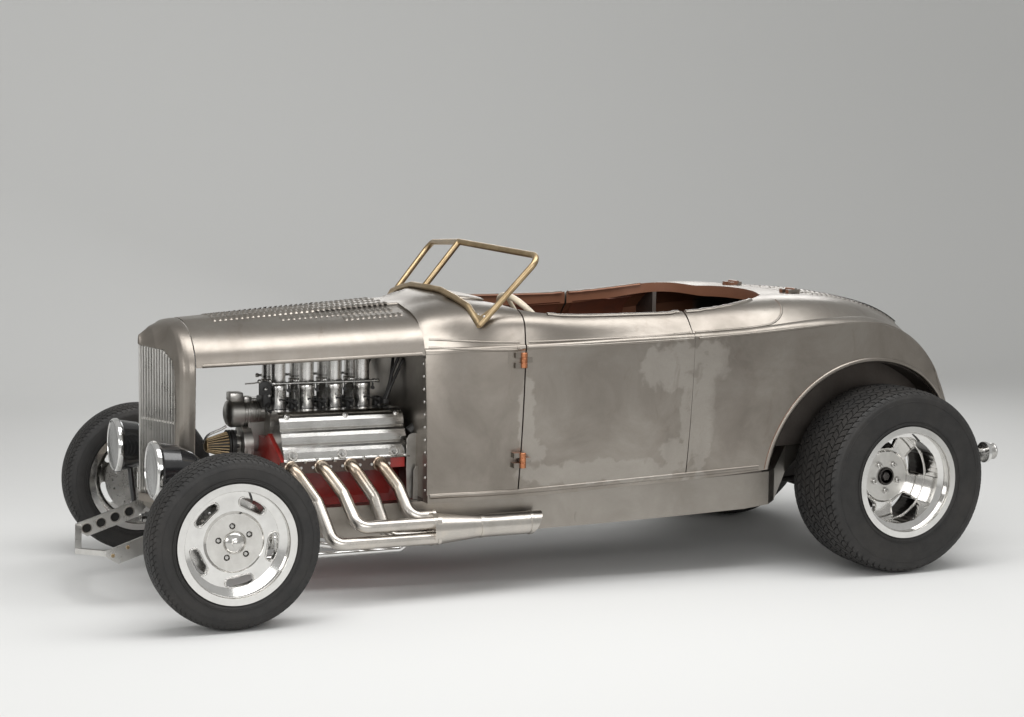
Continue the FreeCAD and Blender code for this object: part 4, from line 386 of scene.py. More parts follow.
def rim_alloy():
    """Polished rim whose centre disc is left satin."""
    material, tree, shader = new_material("wheel_rim_alloy")
    shader.inputs["Metallic"].default_value = 1.0
    vector = place_input(tree)
    split = tree.nodes.new("ShaderNodeSeparateXYZ")
    tree.links.new(vector, split.inputs[0])
    front = calc(tree, "GREATER_THAN", split.outputs["X"], 0.0)
    centre_x = remap(tree, front, 0.0, 1.0, REAR_X, FRONT_X)
    centre_z = remap(tree, front, 0.0, 1.0, REAR_RADIUS, FRONT_RADIUS)
    off_x = calc(tree, "SUBTRACT", split.outputs["X"], centre_x)
    off_z = calc(tree, "SUBTRACT", split.outputs["Z"], centre_z)
    away = calc(tree, "SQRT", calc(tree, "ADD", calc(tree, "MULTIPLY", off_x, off_x),
                                   calc(tree, "MULTIPLY", off_z, off_z)))
    centre = remap(tree, away, 0.0960, 0.0975, 1.0, 0.0)
    clouds = noise_node(tree, vector, 26.0, 5.0, 0.6)
    bright = ramp(tree, clouds, [(0.3, (0.70, 0.69, 0.67)), (0.7, (0.80, 0.79, 0.77))])
    dull = ramp(tree, clouds, [(0.3, (0.60, 0.585, 0.555)), (0.7, (0.72, 0.705, 0.675))])
    tree.links.new(blend_color(tree, centre, bright, dull), shader.inputs["Base Color"])
    fine = noise_node(tree, vector, 300.0, 3.0, 0.6)
    shine = remap(tree, fine, 0.3, 0.7, 0.09, 0.15)
    tree.links.new(calc(tree, "ADD", shine, calc(tree, "MULTIPLY", centre, 0.26)), shader.inputs["Roughness"])
    bump(tree, shader, fine, 0.03, 0.0004)
    return material


steel = body_steel()
frame_steel = metal("rail_steel", (0.40, 0.37, 0.335), (0.28, 0.255, 0.225), 0.34, 0.07,
                    (6, 60, 60), 8.0, 0.05, 4.0)
inner_steel = metal("inner_steel", (0.17, 0.15, 0.135), (0.10, 0.085, 0.075), 0.5, 0.08, (1, 1, 1), 90.0)
bronze = metal("bronze_frame", (0.50, 0.385, 0.235), (0.33, 0.235, 0.13), 0.34, 0.07, (1, 1, 1), 120.0,
               0.06, 18.0)
copper = metal("copper_sleeve", (0.62, 0.27, 0.14), (0.38, 0.15, 0.075), 0.38, 0.08, (1, 1, 1), 160.0,
               0.05, 40.0)
chrome = metal("chrome_plate", (0.80, 0.80, 0.79), (0.70, 0.69, 0.67), 0.09, 0.03, (1, 1, 1), 60.0,
               0.01, 9.0)
polished = metal("polished_alloy", (0.70, 0.69, 0.665), (0.55, 0.535, 0.51), 0.19, 0.05, (1, 1, 1), 180.0,
                 0.03, 12.0)
stack_alloy = metal("stack_alloy", (0.86, 0.845, 0.82), (0.72, 0.705, 0.68), 0.27, 0.04, (40, 40, 1), 20.0,
                    0.03, 12.0)
satin_alloy = metal("satin_alloy", (0.60, 0.585, 0.56), (0.48, 0.46, 0.43), 0.34, 0.06, (1, 1, 1), 260.0,
                    0.06, 20.0)
cast_alloy = metal("cast_alloy", (0.50, 0.485, 0.46), (0.36, 0.345, 0.32), 0.42, 0.08, (1, 1, 1), 300.0,
                   0.14, 20.0)
brake_steel = metal("brake_steel", (0.60, 0.59, 0.57), (0.47, 0.46, 0.44), 0.28, 0.06, (1, 1, 1), 240.0,
                    0.05, 20.0)
iron = metal("cast_iron_parts", (0.11, 0.105, 0.10), (0.055, 0.05, 0.048), 0.5, 0.1, (1, 1, 1), 200.0,
             0.12, 16.0)
bar_alloy = metal("bar_alloy", (0.76, 0.745, 0.715), (0.62, 0.605, 0.575), 0.30, 0.06, (60, 60, 4), 8.0,
                  0.04, 14.0)
stack_metal = intake_metal()
rim_metal = rim_alloy()
# painted shade: near-black for the insides of louvre mouths and horn holes
hollow_shade = painted("louvre_shadow", (0.010, 0.009, 0.008), 0.8, 0.0, 0.05, 0.02)
red_paint = painted("red_block_paint", (0.36, 0.022, 0.016), 0.34, 0.3)
black_gloss = painted("black_gloss_paint", (0.012, 0.012, 0.013), 0.22, 0.6, 0.03, 0.02)
black_satin = painted("black_satin_parts", (0.022, 0.021, 0.020), 0.45, 0.0, 0.06, 0.08)
cream = painted("cream_rim", (0.66, 0.58, 0.44), 0.30, 0.3, 0.04, 0.02)
tyre_black = rubber()
brown_hide = hide()
brown_board = painted("brown_board", (0.13, 0.042, 0.022), 0.55, 0.0, 0.08, 0.2)
header_metal = header_steel()
clear_lens = lens_glass()
tail_lens = red_lens()

SLOTS = {
    "bare_steel": steel, "frame_steel": frame_steel, "bronze": bronze, "chrome": chrome,
    "polished_alloy": polished, "cast_alloy": cast_alloy, "red_block": red_paint,
    "black_paint": black_gloss, "black_parts": black_satin, "header_steel": header_metal,
    "brake_steel": brake_steel, "cast_iron": iron, "tyre_rubber": tyre_black,
    "brown_hide": brown_hide, "cream_plastic": cream,
}
SPECIAL = {"floor": inner_steel, "wheel_tubs": inner_steel, "grille_bars": bar_alloy,
           "front_spreader": bar_alloy, "tail_lamps": brake_steel, "valve_covers": polished,
           "intake": stack_metal,
           "rim_front_left": rim_metal, "rim_front_right": rim_metal, "rim_rear_left": rim_metal,
           "rim_rear_right": rim_metal}
for part in frame["record"]["subparts"]:
    node = nodes[part["node"]]
    material = SPECIAL.get(part["node"], SLOTS[part["material_slot"]])
    node.data.materials.clear()
    node.data.materials.append(material)


# Making pieces
def finish_piece(name, bm, material, body="chassis", smooth=USUAL_EDGE, outward=True):
    """Turn a bmesh into a visible piece that rides on a body, with edges over an angle kept sharp."""
    if not bm.faces:
        bm.free()
        return None
    if outward:
        bmesh.ops.recalc_face_normals(bm, faces=bm.faces)
    mesh = bpy.data.meshes.new(name)
    bm.normal_update()
    bm.to_mesh(mesh)
    bm.free()
    piece = bpy.data.objects.new(name, mesh)
    scene.collection.objects.link(piece)
    mesh.materials.append(material)
    mesh.shade_smooth()
    mesh.set_sharp_from_angle(angle=math.radians(smooth))
    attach(piece, body)
    return piece


def shift_new(bm, before, matrix):
    """Move the vertices that were made since before was noted."""
    fresh = [v for v in bm.verts if v not in before]
    bmesh.ops.transform(bm, matrix=matrix, verts=fresh)


def quad_strip(bm, first, second, closed=False):
    """Faces between two rows of vertices."""
    count = len(first)
    for index in range(count if closed else count - 1):
        after = (index + 1) % count
        bm.faces.new((first[index], first[after], second[after], second[index]))


def ring_points(centre, across, up, radius, count, start=0.0):
    return [centre + across * (radius * math.cos(start + 2 * math.pi * k / count))
            + up * (radius * math.sin(start + 2 * math.pi * k / count)) for k in range(count)]


def square_to(way):
    """Two ways square to a way and to each other."""
    way = way.normalized()
    helper = UP if abs(way.z) < 0.9 else AHEAD
    across = way.cross(helper).normalized()
    return across, across.cross(way).normalized()


def turned_form(bm, centre, way, profile, count=32):
    """Form turned about an axis, from pairs of distance along it and radius."""
    way = way.normalized()
    across, up = square_to(way)
    rings = []
    for along, radius in profile:
        place = centre + way * along
        if radius < 1e-6:
            rings.append([bm.verts.new(place)])
        else:
            rings.append([bm.verts.new(p) for p in ring_points(place, across, up, radius, count)])
    for first, second in zip(rings, rings[1:]):
        if len(first) == 1:
            for k in range(count):
                bm.faces.new((first[0], second[(k + 1) % count], second[k]))
        elif len(second) == 1:
            for k in range(count):
                bm.faces.new((first[k], first[(k + 1) % count], second[0]))
        else:
            quad_strip(bm, first, second, True)
    for ring, flip in ((rings[0], True), (rings[-1], False)):
        if len(ring) > 1:
            bm.faces.new(ring[::-1] if flip else ring)


def tube_along(bm, places, radius, count=12, closed=False):
    """Round tube through places, ends closed."""
    total = len(places)
    rings = []
    last_up = None
    for index, place in enumerate(places):
        before = places[index - 1] if index or closed else places[0]
        after = places[(index + 1) % total] if index < total - 1 or closed else places[-1]
        way = (after - before).normalized()
        if last_up is None:
            across, up = square_to(way)
        else:
            across = way.cross(last_up).normalized()
            up = across.cross(way).normalized()
        last_up = up
        size = radius[index] if isinstance(radius, (list, tuple)) else radius
        rings.append([bm.verts.new(p) for p in ring_points(place, across, up, size, count)])
    for first, second in zip(rings, rings[1:]):
        quad_strip(bm, first, second, True)
    if closed:
        quad_strip(bm, rings[-1], rings[0], True)
    else:
        bm.faces.new(rings[0][::-1])
        bm.faces.new(rings[-1])


def read_off(marks, value):
    """Height of a broken line of marks at a value; its last height past the end."""
    for (a0, b0), (a1, b1) in zip(marks, marks[1:]):
        if value <= a1:
            return b0 + (b1 - b0) * (value - a0) / (a1 - a0)
    return marks[-1][1]


def smooth_line(places, steps=8):
    """Catmull-Rom line through places."""
    out = []
    last = len(places) - 1
    for index in range(last):
        p0 = places[max(index - 1, 0)]
        p1, p2 = places[index], places[index + 1]
        p3 = places[min(index + 2, last)]
        for step in range(steps):
            t = step / steps
            out.append(0.5 * ((2 * p1) + (p2 - p0) * t + (2 * p0 - 5 * p1 + 4 * p2 - p3) * t * t
                              + (3 * p1 - p0 - 3 * p2 + p3) * t ** 3))
    out.append(places[-1].copy())
    return out


def bevelled_box(bm, centre, size, bevel=0.001, rotation=None):
    """Box of a size round a centre, its edges rounded."""
    before = set(bm.verts)
    made = bmesh.ops.create_cube(bm, size=1.0)
    verts = made["verts"]
    bmesh.ops.scale(bm, vec=size, verts=verts)
    if bevel > 0:
        edges = list(dict.fromkeys(e for v in verts for e in v.link_edges))
        bmesh.ops.bevel(bm, geom=edges, offset=bevel, segments=2, profile=0.5, affect="EDGES")
    matrix = Matrix.Translation(centre)
    if rotation is not None:
        matrix = matrix @ rotation.to_4x4()
    shift_new(bm, before, matrix)


def bolt(bm, centre, way, radius=0.006, height=0.004, dome=False):
    """Hex head or domed rivet head standing on a face."""
    if dome:
        turned_form(bm, centre - way.normalized() * 0.001, way,
                    [(0, radius), (0.001 + height * 0.35, radius * 0.93),
                     (0.001 + height * 0.75, radius * 0.62), (0.001 + height, 0.0)], 14)
    else:
        turned_form(bm, centre - way.normalized() * 0.001, way,
                    [(0, radius), (0.001 + height * 0.8, radius), (0.001 + height, radius * 0.82)], 6)


# Tyres with their tread
def tyre_piece(name, node, body, centre, radius, lip, bead, tread_width, width, rim_width, rows,
               blocks, groove, skew, sides):
    """Carcass turned from the tyre's outline, with separate tread blocks standing on it."""
    bm = bmesh.new()
    drop = 0.014
    foot = rim_width / 2 - 0.0063
    half = [(foot - 0.012, bead + 0.0006), (foot, bead + 0.0006), (foot, lip + 0.0008),
            (width / 2 - 0.0065, lip + 0.010), (width / 2 - 0.0032, lip + 0.022),
            (width / 2 - 0.0005, (radius + lip) / 2), (width / 2 - 0.0022, radius - drop * 2.6),
            (width / 2 - 0.0048, radius - drop * 2.0),
            (tread_width / 2 + 0.003, radius - drop * 0.75 - groove * 0.9),
            (tread_width / 3, radius - drop * 0.2 - groove), (tread_width / 8, radius - groove)]
    profile = half + [(-a, b) for a, b in half[::-1]]
    segments = 192
    rings = []
    for k in range(segments):
        angle = 2 * math.pi * k / segments
        ca, sa = math.cos(angle), math.sin(angle)
        rings.append([bm.verts.new(centre + Vector((r * ca, a, r * sa))) for a, r in profile])
    for k in range(segments):
        after = rings[(k + 1) % segments]
        quad_strip(bm, rings[k], after, False)
        bm.faces.new((rings[k][-1], after[-1], after[0], rings[k][0]))

    def crown(across):
        across = abs(across)
        marks = [(0, radius), (tread_width / 8, radius), (tread_width / 3, radius - drop / 5),
                 (tread_width / 2, radius - drop * 0.72), (tread_width / 2 + 0.008, radius - drop * 1.25),
                 (width / 2 - 0.0052, radius - drop * 2.05), (width / 2 - 0.001, radius - drop * 2.8)]
        return read_off(marks, across)

    def skin(across, angle, deep):
        r = crown(across) - deep
        return centre + Vector((r * math.cos(angle), across, r * math.sin(angle)))

    step = 2 * math.pi / blocks
    for row, (low, high, cover, shift, lean) in enumerate(rows):
        parts = 3 if high - low > 0.018 else 2
        for k in range(blocks):
            start = (k + shift) * step
            long = step * cover
            columns = []
            for part in range(parts + 1):
                across = low + (high - low) * part / parts
                offset = lean * step * (part / parts - 0.5) + skew * step * math.sin(part / parts * math.pi)
                pair_here = []
                for t in (0.0, 0.5, 1.0):
                    angle = start + offset + long * t
                    pair_here.append((across, angle))
                columns.append(pair_here)
            top = [[bm.verts.new(skin(a, g, 0)) for a, g in column] for column in columns]
            low_ring = [[bm.verts.new(skin(a, g, groove * 1.25)) for a, g in column] for column in columns]
            for i in range(parts):
                for j in range(2):
                    bm.faces.new((top[i][j], top[i + 1][j], top[i + 1][j + 1], top[i][j + 1]))
            edge_top = [top[i][0] for i in range(parts + 1)] + [top[parts][1], top[parts][2]] \
                + [top[i][2] for i in range(parts - 1, -1, -1)] + [top[0][1]]
            edge_low = [low_ring[i][0] for i in range(parts + 1)] + [low_ring[parts][1], low_ring[parts][2]] \
                + [low_ring[i][2] for i in range(parts - 1, -1, -1)] + [low_ring[0][1]]
            quad_strip(bm, edge_low, edge_top, True)
    # raised rings on the walls
    for side in (1, -1):
        for ring_radius, ring_size in sides:
            places = []
            bulge = width / 2 - 0.0016
            count = 128
            for k in range(count):
                angle = 2 * math.pi * k / count
                places.append(centre + Vector((ring_radius * math.cos(angle), side * bulge,
                                               ring_radius * math.sin(angle))))
            tube_along(bm, places, ring_size, 6, True)
    piece = finish_piece(name, bm, tyre_black, body, smooth=35)
    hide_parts(node)
    return piece


def tread_rows(tread_width, count, gap, cover, shoulder):
    """Rows of blocks side by side, then the two shoulder rows that wrap down the wall."""
    rows = []
    pitch = tread_width / count
    for k in range(count):
        low = -tread_width / 2 + k * pitch + gap / 2
        high = low + pitch - gap
        lean = 0.55 if k % 2 else -0.55
        rows.append((low, high, cover, 0.5 * (k % 2), lean))
    for side in (1, -1):
        rows.append((min(side * (tread_width / 2 + 0.001), side * shoulder),
                     max(side * (tread_width / 2 + 0.001), side * shoulder), cover * 0.9,
                     0.25, 0.35 * side))
    return rows


for side, name in SIDES:
    front_centre = Vector((FRONT_X, side * (FRONT_LIP_TRACK - FRONT_RIM_WIDTH / 2), FRONT_RADIUS))
    tyre_piece("road_tyre_front_" + name, "tyre_front_" + name, "wheel_front_" + name, front_centre,
               FRONT_RADIUS, FRONT_LIP, 0.190, FRONT_TREAD, FRONT_TYRE_WIDTH, FRONT_RIM_WIDTH,
               tread_rows(FRONT_TREAD, 6, 0.0032, 0.86, 0.0745),
               84, 0.0055, 0.18, ((0.262, 0.0011), (0.224, 0.0011), (0.218, 0.0011)))
    rear_centre = Vector((REAR_X, side * (REAR_LIP_TRACK - REAR_RIM_WIDTH / 2), REAR_RADIUS))
    tyre_piece("road_tyre_rear_" + name, "tyre_rear_" + name, "wheel_rear_" + name, rear_centre,
               REAR_RADIUS, REAR_LIP, 0.203, REAR_TREAD, REAR_TYRE_WIDTH, REAR_RIM_WIDTH,
               tread_rows(REAR_TREAD, 8, 0.0048, 0.82, 0.1445),
               72, 0.0075, 0.10, ((0.318, 0.0013), (0.236, 0.0013), (0.230, 0.0012)))


# Surfaces to set trim on
class Skin:
    """Finds points on the outside of carried-over nodes."""

    def __init__(self, names):
        self.trees = []
        for name in names:
            mesh = nodes[name].data
            verts = [v.co.copy() for v in mesh.vertices]
            faces = [tuple(p.vertices) for p in mesh.polygons]
            self.trees.append(BVHTree.FromPolygons(verts, faces))

    def hit(self, start, way):
        best = None
        for tree in self.trees:
            place, normal, index, distance = tree.ray_cast(start, way)
            if place is not None and (best is None or distance < best[2]):
                best = (place, normal, distance)
        if best is None:
            return None
        normal = best[1]
        if normal.dot(way) > 0:
            normal = -normal
        return best[0], normal

    def side(self, station, height, sign=1):
        return self.hit(at(station, sign * 1.2, height), Vector((0, -sign, 0)))

    def top(self, station, track):
        return self.hit(at(station, track, 2.0), Vector((0, 0, -1)))


def moulding(name, line, width, height, material, body, count=8):
    """Low half-round strip along a line of places and outward ways."""
    bm = bmesh.new()
    rows = []
    total = len(line)
    for index, (place, out) in enumerate(line):
        before = line[max(index - 1, 0)][0]
        after = line[min(index + 1, total - 1)][0]
        way = (after - before).normalized()
        across = way.cross(out).normalized()
        rise = across.cross(way).normalized()
        if rise.dot(out) < 0:
            rise = -rise
        row = []
        for k in range(count + 1):
            angle = math.pi * k / count
            row.append(bm.verts.new(place + across * (width / 2 * math.cos(angle))
                                    + rise * (height * math.sin(angle) - 0.0012)))
        rows.append(row)
    for first, second in zip(rows, rows[1:]):
        quad_strip(bm, first, second, False)
    for first, second in zip(rows, rows[1:]):
        bm.faces.new((first[-1], second[-1], second[0], first[0]))
    bm.faces.new(rows[0][::-1])
    bm.faces.new(rows[-1])
    return finish_piece(name, bm, material, body, smooth=50)


def even(places, step):
    """Places along a line at an even step."""
    out = [places[0]]
    for start, end in zip(places, places[1:]):
        run = (end - start).length
        count = max(1, int(round(run / step)))
        out += [start.lerp(end, k / count) for k in range(1, count + 1)]
    return out


# Grille shell
def softened(node, name, voxel, passes, material):
    """The node's own form with its facets rounded off, to stand in the node's place."""
    source = nodes[node]
    rough = bpy.data.objects.new(name + "_rough", source.data.copy())
    scene.collection.objects.link(rough)
    rough.matrix_world = source.matrix_world
    weld = rough.modifiers.new("weld", "WELD")
    weld.merge_threshold = 0.00002
    remesh = rough.modifiers.new("remesh", "REMESH")
    remesh.mode = "VOXEL"
    remesh.voxel_size = voxel
    relax = rough.modifiers.new("relax", "SMOOTH")
    relax.factor = 0.5
    relax.iterations = passes
    bpy.context.view_layer.update()
    ready = rough.evaluated_get(bpy.context.evaluated_depsgraph_get())
    bm = bmesh.new()
    bm.from_mesh(ready.to_mesh())
    bmesh.ops.transform(bm, matrix=rough.matrix_world, verts=bm.verts)
    bpy.data.objects.remove(rough)
    piece = finish_piece(name, bm, material, smooth=50, outward=False)
    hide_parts(node)
    return piece


softened("grille_shell", "rounded_grille_shell", 0.0028, 14, steel)

body_skin = Skin(["cowl", "door_left", "door_right", "rear_body", "deck_lid"])
hood_skin = Skin(["hood_top"])
deck_skin = Skin(["deck_lid"])

# Belt bead, sill bead and arch lip
BELT = [(0.812, 0.908), (1.106, 0.906), (1.129, 0.916), (1.440, 0.921), (1.827, 0.935), (2.120, 0.953),
        (2.292, 0.966), (2.510, 0.983), (2.663, 0.974), (2.759, 0.944), (2.858, 0.885), (2.935, 0.802),
        (2.990, 0.690)]
UPPER = [(0.812, 0.936), (1.110, 0.934), (1.450, 0.942), (1.660, 0.948), (1.850, 0.958), (2.050, 0.969),
         (2.140, 0.978)]


def belt_line(marks, low, high, sign, step=0.012):
    """Places on the body's side along marks of station and height, between two stations."""
    places = smooth_line([Vector((s, 0, z)) for s, z in marks], 10)
    line = []
    last = None
    for place in even(places, step):
        if place.x < low or place.x > high:
            continue
        found = body_skin.side(place.x, place.z, sign)
        if found is None:
            continue
        if last is not None and (found[0] - last).length > 0.06:
            continue
        last = found[0]
        line.append(found)
    return line


for sign, name in SIDES:
    for tag, marks, wide, tall in (("belt", BELT, 0.011, 0.0042), ("upper_belt", UPPER, 0.010, 0.0038)):
        spans = [("cowl", "chassis", 0.812, 1.1255), ("door", "door_" + name, 1.1375, 1.8175),
                 ("rear", "chassis", 1.8275, 3.05)]
        for span, rider, low, high in spans:
            line = belt_line(marks, low, high, sign)
            if len(line) > 3:
                moulding("%s_bead_%s_%s" % (tag, span, name), line, wide, tall, steel, rider)
    # arch lip running forward into the sill bead
    arch = []
    for k in range(97):
        angle = math.radians(-2 + 176 * k / 96)
        s = 2.628 + 0.4655 * math.cos(angle)
        z = 0.366 + 0.4655 * math.sin(angle)
        found = body_skin.side(s, z, sign)
        if found is not None and z > 0.41:
            arch.append(found)
    arch = arch[::-1]
    if len(arch) > 6:
        moulding("arch_lip_" + name, arch, 0.020, 0.0085, steel, "chassis", 10)
    sill = []
    low, high = 0.812, 2.128
    count = 110
    for k in range(count + 1):
        s = low + (high - low) * k / count
        z = 0.3535 + (s - 0.804) * (0.414 - 0.3535) / (2.139 - 0.804) + 0.004
        found = body_skin.side(s, z + 0.006, sign)
        if found is not None:
            sill.append(found)
    moulding("sill_bead_" + name, sill, 0.020, 0.007, steel, "chassis", 10)


# Louvres
def louvre(bm, place, normal, along, long, wide, tall):
    """One pressed louvre: a half teardrop blister, open towards the rear."""
    normal = normal.normalized()
    along = (along - normal * along.dot(normal)).normalized()
    cross = normal.cross(along).normalized()
    steps = 7
    rows = []
    for i in range(steps + 1):
        t = i / steps
        rise = tall * math.sin(min(t * 1.15, 1.0) * math.pi / 2) ** 1.2
        row = []
        for j in range(9):
            u = -1 + 2 * j / 8
            edge = (1 - abs(u) ** 4)
            row.append(bm.verts.new(place + along * (wide * (t - 0.5)) + cross * (long / 2 * u)
                                    + normal * (rise * edge - 0.0006)))
        rows.append(row)
    for first, second in zip(rows, rows[1:]):
        quad_strip(bm, first, second, False)
    low = [bm.verts.new(v.co - normal * (0.0006 + max(0.0, (v.co - place).dot(normal)))) for v in rows[-1]]
    quad_strip(bm, rows[-1], low, False)


def louvre_mouth(bm, found, back, low_half, high_half, rise):
    """Dark sheet of painted shade across the opening at the rear end of a louvre."""
    place, normal = found
    base = place + normal * 0.0004 - AHEAD * back
    cross = normal.cross(-AHEAD).normalized()
    corners = [base + cross * low_half, base - cross * low_half,
               base - cross * high_half + normal * rise, base + cross * high_half + normal * rise]
    bm.faces.new([bm.verts.new(c) for c in corners])


bm = bmesh.new()
mouth_shade = bmesh.new()
for sign in (1, -1):
    for row, (track_front, track_rear, first, last) in enumerate(((0.030, 0.036, 0.10, 0.77),
                                                                  (0.080, 0.112, 0.10, 0.77),
                                                                  (0.118, 0.186, 0.34, 0.77),
                                                                  (0.150, 0.252, 0.56, 0.77))):
        station = first
        while station < last:
            share = station / 0.8
            track = track_front + (track_rear - track_front) * share
            found = hood_skin.top(station, sign * track)
            if found is not None:
                long = 0.042 if row else 0.036
                louvre(bm, found[0], found[1], -AHEAD, long, 0.013, 0.0052)
                louvre_mouth(mouth_shade, found, 0.0068, long * 0.43, long * 0.36, 0.0038)
            station += 0.0205
finish_piece("hood_louvres", bm, steel)
finish_piece("hood_louvre_mouth_shade", mouth_shade, hollow_shade, outward=False)

bm = bmesh.new()
mouth_shade = bmesh.new()
for column, track in enumerate((-0.285, -0.205, -0.125, -0.045, 0.045, 0.125, 0.205, 0.285)):
    station = 2.53
    while station < 2.97:
        found = deck_skin.top(station, track * (1.0 if station < 2.76 else 1.0 - 0.6 * (station - 2.76)))
        if found is not None and found[1].z > 0.45:
            louvre(bm, found[0], found[1], -AHEAD, 0.058, 0.014, 0.0055)
            louvre_mouth(mouth_shade, found, 0.0073, 0.025, 0.021, 0.004)
        station += 0.0225
finish_piece("deck_louvres", bm, steel, "deck_lid")
finish_piece("deck_louvre_mouth_shade", mouth_shade, hollow_shade, "deck_lid", outward=False)

# Firewall flange with its rivets
for sign, name in SIDES:
    bm = bmesh.new()
    rivets = bmesh.new()
    edge = []
    for k in range(44):
        z = 0.368 + (0.872 - 0.368) * k / 43
        found = body_skin.side(0.816, z, sign)
        if found is not None:
            edge.append(found[0])
    rows = []
    for place in edge:
        front = FRONT_X - 0.8035
        rows.append([bm.verts.new(Vector((front, place.y + sign * 0.0003, place.z))),
                     bm.verts.new(Vector((front + 0.0035, place.y, place.z))),
                     bm.verts.new(Vector((front + 0.0035, place.y - sign * 0.040, place.z))),
                     bm.verts.new(Vector((front, place.y - sign * 0.040, place.z)))])
    for first, second in zip(rows, rows[1:]):
        quad_strip(bm, first, second, True)
    bm.faces.new(rows[0][::-1])
    bm.faces.new(rows[-1])
    finish_piece("firewall_flange_" + name, bm, steel)
    for k in range(11):
        z = 0.385 + 0.0465 * k
        found = body_skin.side(0.816, z, sign)
        if found is not None:
            bolt(rivets, Vector((FRONT_X - 0.800, found[0].y - sign * 0.020, z)), AHEAD,
                 0.0060, 0.0042, True)
    finish_piece("firewall_rivets_" + name, rivets, satin_alloy, smooth=45)

# Copper sleeves over the hinges
for sign, name in SIDES:
    for height in (0.500, 0.870):
        for tag, rider, low, high in (("low", "chassis", -0.0279, -0.0097),
                                      ("mid", "door_" + name, -0.0090, 0.0090),
                                      ("top", "chassis", 0.0097, 0.0279)):
            bm = bmesh.new()
            foot = Vector((0.355, sign * 0.5761, height + low))
            long = high - low
            turned_form(bm, foot, UP,
                        [(0, 0.0088), (0, 0.0112), (0.0012, 0.0124), (long - 0.0012, 0.0124), (long, 0.0112),
                         (long, 0.0088)], 28)
            finish_piece("hinge_sleeve_%s_%s_%d" % (tag, name, int(height * 1000)), bm, copper,
                         rider)

# Steel leaves on the cowl, in front of each hinge
LEAF_FRONT, LEAF_REAR, LEAF_REACH, LEAF_PROUD = 0.406, 0.3725, 0.035, 0.0011
for sign, name in SIDES:
    for height in (0.500, 0.870):
        bm = bmesh.new()
        ends = []
        for end in (-1, 1):
            row = []
            for forward_place in (LEAF_REAR, LEAF_FRONT):
                found = body_skin.side(FRONT_X - forward_place, height + end * LEAF_REACH, sign)
                row.append(found[0] + found[1] * LEAF_PROUD)
            ends.append(row)
        low, high = ends
        count = 8
        grid = []
        for k in range(count + 1):
            grid.append([bm.verts.new(low[side].lerp(high[side], k / count)) for side in (0, 1)])
        for first, second in zip(grid, grid[1:]):
            quad_strip(bm, first, second)
        bmesh.ops.recalc_face_normals(bm, faces=bm.faces)
        bmesh.ops.solidify(bm, geom=bm.faces[:], thickness=0.0010)
        finish_piece("hinge_leaf_%s_%d" % (name, int(height * 1000)), bm, steel, smooth=30,
                     outward=False)

# Wheel details
WINDOWS = {
    "front": [(0.62, 0.00), (0.80, 0.05), (0.93, 0.20), (1.00, 0.42), (0.98, 0.64), (0.86, 0.80),
              (0.62, 0.93), (0.30, 1.00)],
    "rear": [(0.50, 0.00), (0.62, 0.04), (0.70, 0.16), (0.96, 0.66), (1.00, 0.78), (0.94, 0.88),
             (0.60, 0.97), (0.25, 1.00)],
}


def wheel_point(centre, side, along, angle, radius):
    """Place at a distance outboard of the centre, an angle from straight down and a radius."""
    return Vector((centre.x + radius * math.sin(angle), centre.y + side * along,
                   centre.z - radius * math.cos(angle)))


def ring_tube(bm, centre, side, along, radius, size, count=96):
    """Thin ring round a wheel's axis."""
    places = [wheel_point(centre, side, along, 2 * math.pi * k / count, radius) for k in range(count)]
    tube_along(bm, places, size, 8, True)


